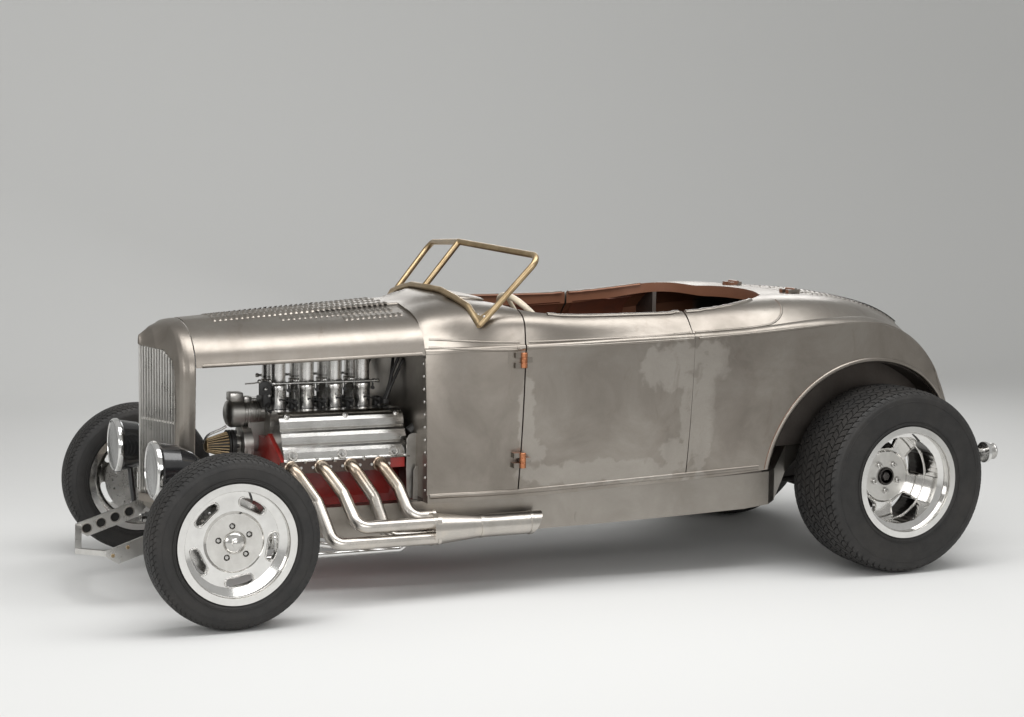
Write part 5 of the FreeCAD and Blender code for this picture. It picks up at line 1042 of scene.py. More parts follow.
FIFTH = 2 * math.pi / 5
for end, hub_x, hub_z, hub_track, lip_track, lip, inner, outer, half, rolled in (
        ("front", FRONT_X, FRONT_RADIUS, 0.722, FRONT_LIP_TRACK, FRONT_LIP, 0.120, 0.154, 0.047,
         FRONT_ROLLED),
        ("rear", REAR_X, REAR_RADIUS, 0.632, REAR_LIP_TRACK, REAR_LIP, 0.112, 0.172, 0.056, 0.0)):
    for side, name in SIDES:
        body = "wheel_%s_%s" % (end, name)
        middle = Vector((hub_x, 0, hub_z))
        out = Vector((0, side, 0))
        # rolled lip and a step inside the dish
        bm = bmesh.new()
        ring_tube(bm, middle, side, lip_track - 0.0036, lip - 0.0028, 0.0032, 128)
        ring_tube(bm, middle, side, lip_track - 0.012, lip - 0.026, 0.0022, 128)
        if end == "rear":
            ring_tube(bm, middle, side, hub_track + 0.020, lip - 0.049, 0.0036, 128)
            ring_tube(bm, middle, side, lip_track - 0.062, lip - 0.0445, 0.0030, 128)
        finish_piece("rim_rolls_%s_%s" % (end, name), bm, polished, body, smooth=60,
                     outward=False)
        # raised rim round each window
        bm = bmesh.new()
        face = hub_track - 0.008
        for number in range(5):
            turn = FIFTH * (number + 0.5) + rolled
            line = [(half * a, inner + (outer - inner) * b) for a, b in WINDOWS[end]]
            line = line + [(-a, b) for a, b in line[::-1]]
            mean = sum((b for a, b in line)) / len(line)
            grown = []
            for a, b in line:
                grow = Vector((a, b - mean)).normalized() * 0.0035
                a2, b2 = a + grow.x, b + grow.y
                base = wheel_point(middle, side, face + 0.0006, turn, b2)
                grown.append(base + Vector((math.cos(turn), 0, math.sin(turn))) * a2)
            closed = grown + [grown[0]]
            places = smooth_line(closed, 4)[:-1]
            tube_along(bm, places, 0.0030, 8, True)
        finish_piece("window_rims_%s_%s" % (end, name), bm, polished, body, smooth=60,
                     outward=False)
        # nuts
        bm = bmesh.new()
        for number in range(5):
            angle = FIFTH * number + rolled
            if end == "front":
                place = wheel_point(middle, side, hub_track - 0.010, angle, 0.057)
                turned_form(bm, place, out, [(0, 0.0088), (0.004, 0.0088), (0.0075, 0.0066), (0.009, 0.0)], 6)
            else:
                place = wheel_point(middle, side, hub_track - 0.002, angle, 0.057)
                turned_form(bm, place, out, [(0, 0.0145), (0.004, 0.0145), (0.0045, 0.0118), (0.013, 0.0112),
                                             (0.0145, 0.0092), (0.0148, 0.0058), (0.026, 0.0056),
                                             (0.027, 0.0)], 12)
        finish_piece("wheel_nuts_%s_%s" % (end, name), bm, brake_steel, body)
        bm = bmesh.new()
        place = middle + out * (hub_track - 0.004)
        if end == "front":
            turned_form(bm, place, out, [(0, 0.0400), (0.006, 0.0400), (0.009, 0.0385), (0.014, 0.0350),
                                         (0.020, 0.0270), (0.0235, 0.0190), (0.0245, 0.0175)], 40)
            turned_form(bm, place + out * 0.0235, out, [(0, 0.0165), (0.006, 0.0160), (0.0078, 0.0135),
                                                        (0.0085, 0.0)], 6)
        else:
            turned_form(bm, place, out, [(0, 0.0360), (0.010, 0.0360), (0.014, 0.0335), (0.014, 0.0275),
                                         (0.004, 0.0265)], 40)
            turned_form(bm, place + out * 0.001, out, [(0, 0.0180), (0.010, 0.0172), (0.0125, 0.0140),
                                                       (0.013, 0.0)], 6)
        finish_piece("wheel_cap_%s_%s" % (end, name), bm, polished if end == "front" else iron,
                     body)
        # valve stem inside the dish
        bm = bmesh.new()
        angle = math.radians(200)
        start = wheel_point(middle, side, lip_track - 0.046, angle, lip - 0.043)
        stop = wheel_point(middle, side, lip_track - 0.022, angle, lip - 0.052)
        tube_along(bm, [start, start.lerp(stop, 0.6), stop], [0.0042, 0.0038, 0.0032], 10)
        finish_piece("valve_stem_%s_%s" % (end, name), bm, black_satin, body)

# Brake caliper bolts and kingpin caps
for side, name in SIDES:
    bm = bmesh.new()
    out = Vector((0, side, 0))
    for station, height in ((0.110, 0.272), (0.110, 0.328), (0.140, 0.272), (0.140, 0.328)):
        bolt(bm, at(station, side * 0.663, height), out, 0.0068, 0.005)
    bevelled_box(bm, at(0.126, side * 0.6635, 0.300), Vector((0.034, 0.004, 0.030)), 0.0012)
    finish_piece("caliper_bolts_" + name, bm, brake_steel, "knuckle_" + name)
    bm = bmesh.new()
    for height in (0.237, 0.363):
        turned_form(bm, at(0, side * 0.578, height), Vector((0, 0, 1 if height > 0.3 else -1)),
                    [(0, 0.0190), (0.004, 0.0190), (0.008, 0.0150), (0.010, 0.0)], 20)
    finish_piece("kingpin_caps_" + name, bm, chrome, "knuckle_" + name)

# Engine dressing
NEAR_STACKS = [0.346 + 0.110 * k for k in range(4)]

bodies_bm = bmesh.new()
black_bm = bmesh.new()
bright_bm = bmesh.new()
for sign, offset in ((1, 0.0), (-1, 0.020)):
    track = sign * 0.092
    out = Vector((0, sign, 0))
    for station in NEAR_STACKS:
        foot = at(station + offset, track, 0.6405)
        turned_form(bodies_bm, foot, UP, [(0, 0.0370), (0.008, 0.0370), (0.009, 0.0318), (0.020, 0.0302),
                                          (0.090, 0.0302), (0.094, 0.0322), (0.108, 0.0322), (0.112, 0.0300),
                                          (0.1135, 0.0272)], 40)
        # clamp band round the slip joint, and its screw
        turned_form(bright_bm, foot + UP * 0.118, UP, [(0, 0.0272), (0.0005, 0.0287), (0.0075, 0.0287),
                                                       (0.008, 0.0272)], 40)
        turned_form(bright_bm, foot + UP * 0.122 + out * 0.0285 + AHEAD * -0.010, AHEAD,
                    [(0, 0.0032), (0.020, 0.0032)], 10)
        # base nuts
        for dx in (-0.027, 0.027):
            for dy in (-0.027, 0.027):
                bolt(bright_bm, foot + Vector((dx, dy, 0.0)), UP, 0.0058, 0.011)
        # nozzle, its line and a throttle arm
        nozzle = foot + out * 0.0295 + UP * 0.058
        turned_form(bright_bm, nozzle, (out + AHEAD * 0.35).normalized(),
                    [(0, 0.0062), (0.009, 0.0062), (0.010, 0.0042), (0.018, 0.0042), (0.019, 0.0)], 6)
        bevelled_box(black_bm, foot + out * 0.036 + UP * 0.106 + AHEAD * -0.030,
                     Vector((0.005, 0.010, 0.034)), 0.0012)
        turned_form(black_bm, foot + out * 0.028 + UP * 0.092 + AHEAD * -0.030, out,
                    [(0, 0.0065), (0.014, 0.0065), (0.015, 0.0)], 12)
        start = nozzle + (out + AHEAD * 0.35).normalized() * 0.017
        rail = foot + out * 0.050 + UP * 0.018 + AHEAD * -0.050
        line = smooth_line([start, start + out * 0.010 + UP * 0.004, rail + UP * 0.026, rail], 6)
        tube_along(black_bm, line, 0.0027, 8)
        turned_form(bright_bm, rail + UP * -0.006, UP, [(0, 0.0062), (0.012, 0.0062), (0.013, 0.0045),
                                                        (0.018, 0.0045)], 6)
        # dark bodies between the stacks
        bevelled_box(black_bm, foot + AHEAD * -0.055 + out * 0.010 + UP * 0.030,
                     Vector((0.026, 0.034, 0.052)), 0.004)
        turned_form(black_bm, foot + AHEAD * -0.055 + out * 0.026 + UP * 0.046, out,
                    [(0, 0.0110), (0.012, 0.0110), (0.016, 0.0080), (0.017, 0.0)], 14)
    rail_line = [at(0.300 + offset, sign * 0.142, 0.6585), at(0.752 + offset, sign * 0.142, 0.6585)]
    tube_along(black_bm, [rail_line[0].lerp(rail_line[1], k / 6) for k in range(7)], 0.0075, 12)
    # linkage shaft with its end stops
    shaft = [at(0.314 + offset, sign * 0.1375, 0.762), at(0.722 + offset, sign * 0.1375, 0.760)]
    tube_along(bright_bm, [shaft[0].lerp(shaft[1], k / 4) for k in range(5)], 0.0048, 12)
    for place, way in ((shaft[0], AHEAD), (shaft[1], -AHEAD)):
        turned_form(bright_bm, place - way * 0.004, way, [(0, 0.0078), (0.008, 0.0078), (0.011, 0.0055),
                                                          (0.012, 0.0)], 14)
    for station in NEAR_STACKS:
        place = at(station + offset + 0.030, sign * 0.1375, 0.761)
        turned_form(bright_bm, place - AHEAD * 0.005, AHEAD, [(0, 0.0075), (0.010, 0.0075)], 12)
        bevelled_box(bright_bm, place + Vector((0, -sign * 0.006, -0.006)),
                     Vector((0.004, 0.020, 0.008)), 0.001)
# Throttle quadrant with ball ends ahead of the stacks
for place, size in ((at(0.262, 0.132, 0.771), 0.0082), (at(0.302, 0.132, 0.772), 0.0082),
                    (at(0.284, 0.138, 0.742), 0.0070), (at(0.300, 0.132, 0.716), 0.0062)):
    turned_form(bright_bm, place - UP * size, UP, [(size * (1 - math.cos(a)), size * math.sin(a))
                                                   for a in [math.pi * k / 8 for k in range(9)]], 16)
tube_along(bright_bm, [at(0.208, 0.132, 0.764), at(0.235, 0.132, 0.765), at(0.262, 0.132, 0.768)], 0.0026, 8)
bevelled_box(black_bm, at(0.284, 0.128, 0.745), Vector((0.046, 0.006, 0.050)), 0.002)
bevelled_box(black_bm, at(0.292, 0.110, 0.712), Vector((0.030, 0.040, 0.080)), 0.004)
bevelled_box(black_bm, at(0.300, 0.060, 0.690), Vector((0.026, 0.110, 0.030)), 0.004)
tube_along(black_bm,
           smooth_line([at(0.300, 0.126, 0.690), at(0.286, 0.142, 0.672), at(0.300, 0.142, 0.6585)], 6),
           0.0055, 10)
for bm, name, material, slot_name in ((bodies_bm, "injector_bodies", stack_alloy, "polished_alloy"),
                                      (black_bm, "fuel_rails_and_linkage", black_satin, "black_parts"),
                                      (bright_bm, "injector_fittings", brake_steel, "brake_steel")):
    finish_piece(name, bm, material)

# Valve cover screws and recesses, header studs and rings
for sign, name in SIDES:
    bright = bmesh.new()
    dark = bmesh.new()
    slope = Vector((0, sign * 0.160, 0.075)).normalized()
    for station in (0.328, 0.553, 0.752):
        bolt(bright, at(station, sign * 0.2570, 0.6520), slope, 0.0075, 0.0045, True)
        turned_form(dark, at(station, sign * 0.2565, 0.6515) - slope * 0.002, slope,
                    [(0, 0.0105), (0.0032, 0.0105), (0.0040, 0.0095)], 20)
    for station in (0.333, 0.521, 0.722):
        place = at(station, sign * 0.3180, 0.5165)
        turned_form(dark, place - slope * 0.004, slope, [(0, 0.0185), (0.0060, 0.0185), (0.0085, 0.0165),
                                                         (0.0085, 0.0135), (0.003, 0.0130)], 24)
        bolt(bright, place + Vector((0, 0, -0.003)), slope, 0.0078, 0.010)
    bevelled_box(bright, at(0.538, sign * 0.3275, 0.4985), Vector((0.486, 0.014, 0.0045)), 0.0015)
    for station in (0.310, 0.420, 0.480, 0.600, 0.655, 0.765):
        bolt(bright, at(station, sign * 0.3305, 0.5005), UP, 0.0062, 0.006)
    finish_piece("cover_screws_" + name, bright, brake_steel)
    finish_piece("cover_recesses_" + name, dark, satin_alloy)
    # studs of the header flange, collars at the ports and rings at the joints
    bm = bmesh.new()
    rings = bmesh.new()
    for number in range(4):
        port = 0.322 + 0.113 * number
        for shift in (-0.034, 0.034):
            bolt(bm, at(port + shift, sign * 0.3350, 0.476), Vector((0, sign, 0)), 0.0068, 0.0085)
        turned_form(rings, at(port, sign * 0.3345, 0.476), Vector((0, sign, 0)),
                    [(0, 0.0268), (0.003, 0.0268), (0.006, 0.0240)], 28)
    for station in (0.3715, 0.4845, 0.5975):
        turned_form(bm, at(station, sign * 0.340, 0.4925), UP, [(0, 0.0060), (0.007, 0.0060),
                                                                               (0.009, 0.0)], 6)
    for track, height, station in ((0.548, 0.228, 0.812), (0.548, 0.284, 0.812), (0.494, 0.228, 0.812),
                                   (0.494, 0.298, 0.812)):
        turned_form(rings, at(station - 0.010, sign * track, height), -AHEAD,
                    [(0, 0.0232), (0.001, 0.0250), (0.014, 0.0250), (0.015, 0.0232)], 28)
    for station, size in ((0.987, 0.0420), (1.186, 0.0420)):
        turned_form(rings, at(station - 0.008, sign * 0.521, 0.256), -AHEAD,
                    [(0, size), (0.001, size + 0.0022), (0.013, size + 0.0022), (0.014, size)], 40)
    finish_piece("header_studs_" + name, bm, brake_steel)
    finish_piece("header_rings_" + name, rings, header_metal)

# Magneto, pump and lines
bm = bmesh.new()
for k in range(7):
    turned_form(bm, at(0.226 + 0.010 * k, 0, 0.640), -AHEAD, [(0, 0.0450), (0.001, 0.0478), (0.004, 0.0478),
                                                              (0.005, 0.0450)], 40)
turned_form(bm, at(0.190, 0, 0.640), AHEAD, [(0, 0.0545), (0.006, 0.0520), (0.016, 0.0440), (0.022, 0.0300),
                                             (0.024, 0.0)], 40)
bevelled_box(bm, at(0.206, 0, 0.702), Vector((0.052, 0.058, 0.034)), 0.006)
bevelled_box(bm, at(0.252, 0, 0.6905), Vector((0.030, 0.040, 0.022)), 0.004)
finish_piece("magneto_case", bm, satin_alloy)
bm = bmesh.new()
nose = at(0.186, 0, 0.522)
profile = [(-0.012, 0.0305), (-0.012, 0.052), (0.0, 0.052), (0.003, 0.048)]
for k in range(7):
    share = k / 7
    profile += [(0.004 + 0.012 * k, 0.047 - 0.022 * share), (0.009 + 0.012 * k, 0.0445 - 0.022 * share)]
profile += [(0.092, 0.0225), (0.096, 0.018), (0.097, 0.0)]
turned_form(bm, nose, AHEAD, profile, 40)
finish_piece("pump_cone", bm, black_satin)
bm = bmesh.new()
for number in range(22):
    angle = 2 * math.pi * number / 22
    way = Vector((0, math.cos(angle), math.sin(angle)))
    tube_along(bm, [nose + AHEAD * 0.006 + way * 0.0470, nose + AHEAD * 0.048 + way * 0.0355,
                    nose + AHEAD * 0.090 + way * 0.0235], [0.0034, 0.0028, 0.0020], 8)
turned_form(bm, nose + AHEAD * 0.088, AHEAD,
            [(0, 0.0242), (0.004, 0.0242), (0.008, 0.0190), (0.010, 0.0)], 32)
finish_piece("pump_ribs", bm, bronze)
bm = bmesh.new()
arm = [nose + Vector((0.100, 0, 0.008)), nose + Vector((0.086, 0.014, 0.040)),
       nose + Vector((0.040, 0.020, 0.060)), nose + Vector((0.018, 0.020, 0.072))]
tube_along(bm, smooth_line(arm, 6), 0.0048, 10)
finish_piece("pump_arm", bm, brake_steel)
bm = bmesh.new()
for shift in (-0.016, -0.004, 0.006):
    turned_form(bm, nose + AHEAD * shift, AHEAD, [(0, 0.0500), (0.0005, 0.0545), (0.006, 0.0545),
                                                  (0.0065, 0.0500)], 40)
for number in range(5):
    angle = 2 * math.pi * number / 5
    start = nose + AHEAD * -0.018
    blade = start + Vector((0, 0.050 * math.cos(angle), 0.050 * math.sin(angle)))
    bevelled_box(bm, blade, Vector((0.010, 0.014, 0.014)), 0.002)
finish_piece("pump_bands", bm, black_satin)
bm = bmesh.new()
for height, size in ((0.372, 0.082), (0.522, 0.070)):
    hub = at(0.290 - 0.030 - 0.034 - 0.0003, 0, height)
    turned_form(bm, hub, AHEAD, [(-0.002, size - 0.012), (-0.002, size + 0.0035), (0.002, size + 0.0035),
                                 (0.004, size - 0.004), (0.001, size - 0.010), (0.001, 0.034),
                                 (0.004, 0.0312)], 56)
finish_piece("pulley_faces", bm, satin_alloy)

# Plates and lines in front of the firewall
bm = bmesh.new()
outline = [(0.770, 0.338), (0.8045, 0.338), (0.8045, 0.583), (0.790, 0.583), (0.776, 0.576), (0.769, 0.562),
           (0.766, 0.45)]
for track, thick, line in ((0.328, 0.005, outline),
                           (0.350, 0.005, [(0.786, 0.338), (0.8045, 0.338), (0.8045, 0.462), (0.797, 0.462),
                                           (0.789, 0.446)])):
    for sign in (1, -1):
        low = [bm.verts.new(at(s, sign * track, z)) for s, z in line]
        high = [bm.verts.new(at(s, sign * (track + thick), z)) for s, z in line]
        quad_strip(bm, low, high, True)
        bm.faces.new(low[::-1])
        bm.faces.new(high)
finish_piece("firewall_plates", bm, satin_alloy)
bm = bmesh.new()
for sign in (1, -1):
    for start, middle, end in (((0.752, 0.130, 0.690), (0.774, 0.140, 0.770), (0.8045, 0.112, 0.866)),
                               ((0.752, 0.142, 0.690), (0.776, 0.152, 0.790), (0.8045, 0.168, 0.868)),
                               ((0.752, 0.150, 0.690), (0.778, 0.158, 0.760), (0.8045, 0.196, 0.846))):
        places = [at(s, sign * y, z) for s, y, z in (start, (start[0] + 0.012, start[1], start[2] + 0.03),
                                                     middle, (end[0] - 0.010, end[1], end[2] - 0.018), end)]
        tube_along(bm, smooth_line(places, 8), 0.0060, 10)
    bevelled_box(bm, at(0.748, sign * 0.142, 0.682), Vector((0.022, 0.044, 0.020)), 0.003)
finish_piece("firewall_lines", bm, black_satin)

# Bench seat, pleated hide
def pleated_pad(name, origin, along, across, up, long, half_wide, thick, pleats, material):
    """Crowned pad with sewn channels: long along its sewing, half_wide either side, thick upwards."""
    bm = bmesh.new()
    count_u = pleats * 8
    count_v = 26
    border = 0.075
    grid = {}
    for i in range(count_u + 1):
        u = -1 + 2 * i / count_u
        for j in range(count_v + 1):
            v = j / count_v
            edge_u = max(0.0, (abs(u) * half_wide - (half_wide - 0.045)) / 0.045)
            edge_v = max(0.0, (0.05 - v) / 0.05, (v - 0.95) / 0.05)
            round_off = math.sqrt(max(0.0, 1 - min(1.0, edge_u) ** 2))
            round_off *= math.sqrt(max(0.0, 1 - min(1.0, edge_v) ** 2))
            crown = 1 - 0.16 * u * u - 0.16 * (2 * v - 1) ** 2
            height = thick * (0.42 + 0.58 * round_off) * crown
            inside = abs(u) * half_wide < half_wide - border and 0.10 < v < 0.92
            if inside:
                phase = (u * half_wide / (half_wide - border) * pleats / 2) % 1.0
                height += 0.0075 * (abs(math.sin(math.pi * phase)) ** 0.55 - 1.0)
                # stitches pinch the channels here and there
                if min(phase, 1 - phase) < 0.10:
                    height -= 0.0012 * (0.5 + 0.5 * math.sin(v * long / 0.007 * math.pi))
            else:
                gap = min(abs(abs(u) * half_wide - (half_wide - border)),
                          abs(v - 0.10) * long, abs(v - 0.92) * long)
                height -= 0.0035 * max(0.0, 1 - gap / 0.006)
            height += 0.0016 * noise.noise(Vector((u * 6.0, v * 3.0, long * 7)))
            pull = 0.010 * (1 - round_off) * (1 - abs(u) ** 3)
            place = origin + along * (long * v) + across * (u * (half_wide - pull)) + up * height
            grid[i, j] = bm.verts.new(place)
    for i in range(count_u):
        for j in range(count_v):
            bm.faces.new((grid[i, j], grid[i + 1, j], grid[i + 1, j + 1], grid[i, j + 1]))
    # sides down to a flat base
    loop = [grid[i, 0] for i in range(count_u + 1)]
    loop += [grid[count_u, j] for j in range(1, count_v + 1)]
    loop += [grid[i, count_v] for i in range(count_u - 1, -1, -1)]
    loop += [grid[0, j] for j in range(count_v - 1, 0, -1)]
    base = []
    middle = []
    for vert in loop:
        offset = vert.co - origin
        low = vert.co - up * offset.dot(up)
        out = (across * (0.006 if offset.dot(across) > 0 else -0.006)
               if abs(offset.dot(across)) > half_wide * 0.97 else Vector((0, 0, 0)))
        middle.append(bm.verts.new(low + up * (offset.dot(up) * 0.5) + out * 0.6))
        base.append(bm.verts.new(low))
    quad_strip(bm, middle, loop, True)
    quad_strip(bm, base, middle, True)
    bm.faces.new(base[::-1])
    piece = finish_piece(name, bm, material, smooth=60)
    return piece


cushion_way = Vector((0.205, 0, 0.030)).normalized()
cushion_up = Vector((-0.030, 0, 0.205)).normalized()
cushion = pleated_pad("seat_cushion", at(2.070, 0, 0.452), cushion_way, Vector((0, 1, 0)), cushion_up,
                      0.192, 0.444, 0.112, 14, brown_hide)
back_way = Vector((-0.075, 0, 0.340)).normalized()
back_up = Vector((0.340, 0, 0.075)).normalized()
pleated_pad("seat_back", at(2.156, 0, 0.555), back_way, Vector((0, 1, 0)), back_up,
            0.340, 0.444, 0.072, 14, brown_hide)
bm = bmesh.new()
for sign in (1, -1):
    bevelled_box(bm, at(1.975, sign * 0.274, 0.4375), Vector((0.190, 0.340, 0.026)), 0.006)
    bevelled_box(bm, at(1.975, sign * 0.280, 0.418), Vector((0.176, 0.320, 0.016)), 0.003)
bevelled_box(bm, at(2.178, 0, 0.690), Vector((0.024, 0.884, 0.400)), 0.006)
finish_piece("seat_frame", bm, brown_board)
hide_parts("seat")
# Piping round the cushion's and the back's upper edge
bm = bmesh.new()
for origin, way, up, long, thick in ((at(2.070, 0, 0.452), cushion_way, cushion_up, 0.192, 0.112),
                                     (at(2.156, 0, 0.555), back_way, back_up, 0.340, 0.072)):
    places = []
    for u, v in ((-1, 0.02), (-0.5, 0.0), (0, 0.0), (0.5, 0.0), (1, 0.02), (1.004, 0.5), (1, 0.98),
                 (0.5, 1.0), (0, 1.0), (-0.5, 1.0), (-1, 0.98), (-1.004, 0.5)):
        places.append(origin + way * (long * v) + Vector((0, 0.444 * u, 0)) + up * (thick * 0.40))
    line = smooth_line(places + [places[0]], 8)[:-1]
    tube_along(bm, line, 0.0042, 8, True)
finish_piece("seat_piping", bm, brown_hide, smooth=60)

# Inner skins of cowl, doors and quarters
inner_skin = Skin(["cowl", "door_left", "door_right", "rear_body"])


def inside_hit(station, height, sign):
    """Place on the inner face of the body, seen from the car's middle."""
    return inner_skin.hit(at(station, 0.0, height), Vector((0, sign, 0)))


def panel(name, low_s, high_s, low_z, high_z, sign, body, material, lift=0.004, steps_s=18,
          steps_z=10):
    """Trim board that lies on the inside of the body."""
    bm = bmesh.new()
    grid = {}
    for i in range(steps_s + 1):
        s = low_s + (high_s - low_s) * i / steps_s
        for j in range(steps_z + 1):
            z0 = low_z(s) if callable(low_z) else low_z
            z1 = high_z(s) if callable(high_z) else high_z
            z = z0 + (z1 - z0) * j / steps_z
            found = inside_hit(s, z, sign)
            if found is None or abs(found[0].y) < 0.30:
                return None
            swell = 0.003 * math.sin(math.pi * i / steps_s) * math.sin(math.pi * j / steps_z)
            front = found[0] + found[1] * (lift + swell)
            grid[i, j] = (bm.verts.new(front), bm.verts.new(found[0] + found[1] * 0.0004))
    for i in range(steps_s):
        for j in range(steps_z):
            a, b, c, d = grid[i, j], grid[i + 1, j], grid[i + 1, j + 1], grid[i, j + 1]
            bm.faces.new((a[0], b[0], c[0], d[0]))
            bm.faces.new((a[1], d[1], c[1], b[1]))
    rim = [(i, 0) for i in range(steps_s + 1)] + [(steps_s, j) for j in range(1, steps_z + 1)] \
        + [(i, steps_z) for i in range(steps_s - 1, -1, -1)] + [(0, j) for j in range(steps_z - 1, 0, -1)]
    quad_strip(bm, [grid[k][1] for k in rim], [grid[k][0] for k in rim], True)
    return finish_piece(name, bm, material, body)


def rim_height(s):
    """Height of the cockpit's rim at a station."""
    marks = [(1.235, 1.009), (1.290, 1.006), (1.454, 1.007), (1.620, 1.011), (1.790, 1.019), (1.850, 1.022),
             (1.970, 1.029), (2.100, 1.038), (2.170, 1.049), (2.216, 1.064)]
    return read_off(marks, s)


for sign, name in SIDES:
    panel("door_board_" + name, 1.185, 1.790, 0.455, lambda s: rim_height(s) - 0.030, sign,
          "door_" + name, brown_board)
    panel("quarter_board_" + name, 1.850, 2.120, 0.560, lambda s: rim_height(s) - 0.030, sign,
          "chassis", brown_board)
    panel("kick_board_" + name, 0.840, 1.105, 0.420, 0.860, sign, "chassis", brown_board)
    bm = bmesh.new()
    for s, z in ((1.21, 0.49), (1.21, 0.90), (1.50, 0.475), (1.50, 0.90), (1.765, 0.49), (1.765, 0.90)):
        found = inside_hit(s, z, sign)
        if found is not None:
            bolt(bm, found[0] + found[1] * 0.004, found[1], 0.0048, 0.0022, True)
    found = inside_hit(1.60, 0.82, sign)
    if found is not None:
        turned_form(bm, found[0], found[1], [(0, 0.018), (0.006, 0.018), (0.009, 0.014), (0.016, 0.010)], 24)
        start = found[0] + found[1] * 0.014
        handle = [start, start + Vector((0.020, 0, -0.014)), start + Vector((0.060, 0, -0.018)),
                  start + Vector((0.085, 0, -0.012))]
        tube_along(bm, smooth_line(handle, 6), [0.007] * 6 + [0.006] * 6 + [0.0052] * 7, 12)
    finish_piece("door_fittings_" + name, bm, chrome, "door_" + name)

# Dashboard gauges
bm_bezel = bmesh.new()
bm_face = bmesh.new()
bm_hand = bmesh.new()
dash_tree = Skin(["cowl"])
for track, size in ((0.370, 0.040), (0.290, 0.052), (0.205, 0.040), (0.045, 0.030), (-0.045, 0.030)):
    found = dash_tree.hit(Vector((0.20, track, 0.952)), AHEAD)
    if found is None:
        continue
    place = found[0]
    back = -AHEAD
    turned_form(bm_bezel, place, back,
                [(-0.001, size), (0.006, size), (0.010, size * 0.94), (0.010, size * 0.87),
                 (0.004, size * 0.84)], 36)
    turned_form(bm_face, place, back, [(0.0005, size * 0.85), (0.0035, size * 0.85)], 36)
    for k in range(9):
        angle = math.radians(225 - 33.75 * k)
        spot_place = place + back * 0.0042 + Vector((0, -math.cos(angle), math.sin(angle))) * (size * 0.68)
        bevelled_box(bm_hand, spot_place, Vector((0.0008, 0.0018, 0.0060 if k % 2 else 0.0095)), 0,
                     Matrix.Rotation(-(math.pi / 2 - angle), 3, "X"))
    bevelled_box(bm_hand, place + back * 0.0046 + Vector((0, 0.15 * size, 0.18 * size)),
                 Vector((0.0008, 0.0022, size * 0.75)), 0, Matrix.Rotation(math.radians(40), 3, "X"))
for bm, name, material, slot_name in ((bm_bezel, "gauge_bezels", chrome, "chrome"),
                                      (bm_face, "gauge_faces", black_satin, "black_parts"),
                                      (bm_hand, "gauge_marks", cream, "cream_plastic")):
    finish_piece(name, bm, material)

# Steering wheel's hub cap
grip_centre = at(1.290, 0.290, 0.930)
lean = math.radians(35)
column_way = Vector((math.cos(lean), 0, -math.sin(lean)))
bm = bmesh.new()
turned_form(bm, grip_centre, -column_way,
            [(-0.004, 0.0345), (0.002, 0.0345), (0.008, 0.0300), (0.012, 0.0240), (0.018, 0.0190),
             (0.020, 0.0)], 36)
finish_piece("wheel_boss", bm, chrome, "steering_wheel")

# Rolled rim round the cockpit
def rim_point(s, sign):
    """Highest place of the body's upper edge at a station."""
    best = None
    for step in range(30):
        track = 0.440 + 0.006 * step
        found = body_skin.top(s, sign * track)
        if found is None or abs(found[0].z - rim_height(s)) > 0.035:
            continue
        if best is None or found[0].z > best.z:
            best = found[0]
    return best


for sign, name in SIDES:
    for span, rider, low, high in (("door", "door_" + name, 1.142, 1.818),
                                   ("quarter", "chassis", 1.828, 2.150)):
        line = []
        count = int((high - low) / 0.02)
        for k in range(count + 1):
            s = low + (high - low) * k / count
            if s < 1.235:
                continue
            found = rim_point(s, sign)
            if found is not None:
                line.append((found + Vector((0, 0, -0.0035)), UP))
        if len(line) > 5:
            moulding("cockpit_roll_%s_%s" % (span, name), line, 0.026, 0.0095, steel, rider, 12)

# Second bead, from the cockpit's rear corner down to the belt
for sign, name in SIDES:
    marks = [(2.140, 0.978), (2.170, 0.984), (2.205, 1.000), (2.232, 1.022), (2.246, 1.045), (2.250, 1.066)]
    places = smooth_line([Vector((s, 0, z)) for s, z in marks], 6)
    line = []
    for place in places:
        found = body_skin.side(place.x, place.z, sign)
        if found is not None and (not line or (found[0] - line[-1][0]).length < 0.05):
            line.append(found)
    if len(line) > 5:
        moulding("corner_bead_" + name, line, 0.010, 0.0036, steel, "chassis")

# Headlamps
for side, name in SIDES:
    centre = Vector((FRONT_X + 0.180, side * 0.307, 0.491))
    bm = bmesh.new()
    turned_form(bm, centre + AHEAD * -0.004, AHEAD,
                [(0.000, 0.0945), (0.0050, 0.0945), (0.0085, 0.0860), (0.0120, 0.0700), (0.0150, 0.0470),
                 (0.0165, 0.0230), (0.0170, 0.0)], 64)
    finish_piece("headlamp_lens_" + name, bm, clear_lens, smooth=60)
    bm = bmesh.new()
    turned_form(bm, centre, AHEAD,
                [(-0.014, 0.1022), (-0.013, 0.1040), (-0.004, 0.1040), (0.002, 0.1022), (0.0050, 0.0990),
                 (0.0055, 0.0960), (0.0030, 0.0938), (-0.003, 0.0930)], 72)
    bevelled_box(bm, centre + Vector((-0.009, 0, -0.1050)), Vector((0.010, 0.012, 0.006)), 0.0012)
    finish_piece("headlamp_bezel_" + name, bm, chrome, smooth=50)

# Tail lamps
for side, name in SIDES:
    centre = Vector((FRONT_X - 3.324, side * 0.442, 0.402))
    bm = bmesh.new()
    turned_form(bm, centre, -AHEAD,
                [(-0.002, 0.0385), (0.003, 0.0385), (0.010, 0.0350), (0.0150, 0.0260), (0.0175, 0.0130),
                 (0.0180, 0.0)], 40)
    finish_piece("tail_lens_" + name, bm, tail_lens, smooth=60)
    bm = bmesh.new()
    turned_form(bm, centre, -AHEAD,
                [(-0.010, 0.0435), (0.002, 0.0440), (0.0055, 0.0425), (0.0060, 0.0395), (0.0030, 0.0380)], 48)
    finish_piece("tail_bezel_" + name, bm, chrome, smooth=50)

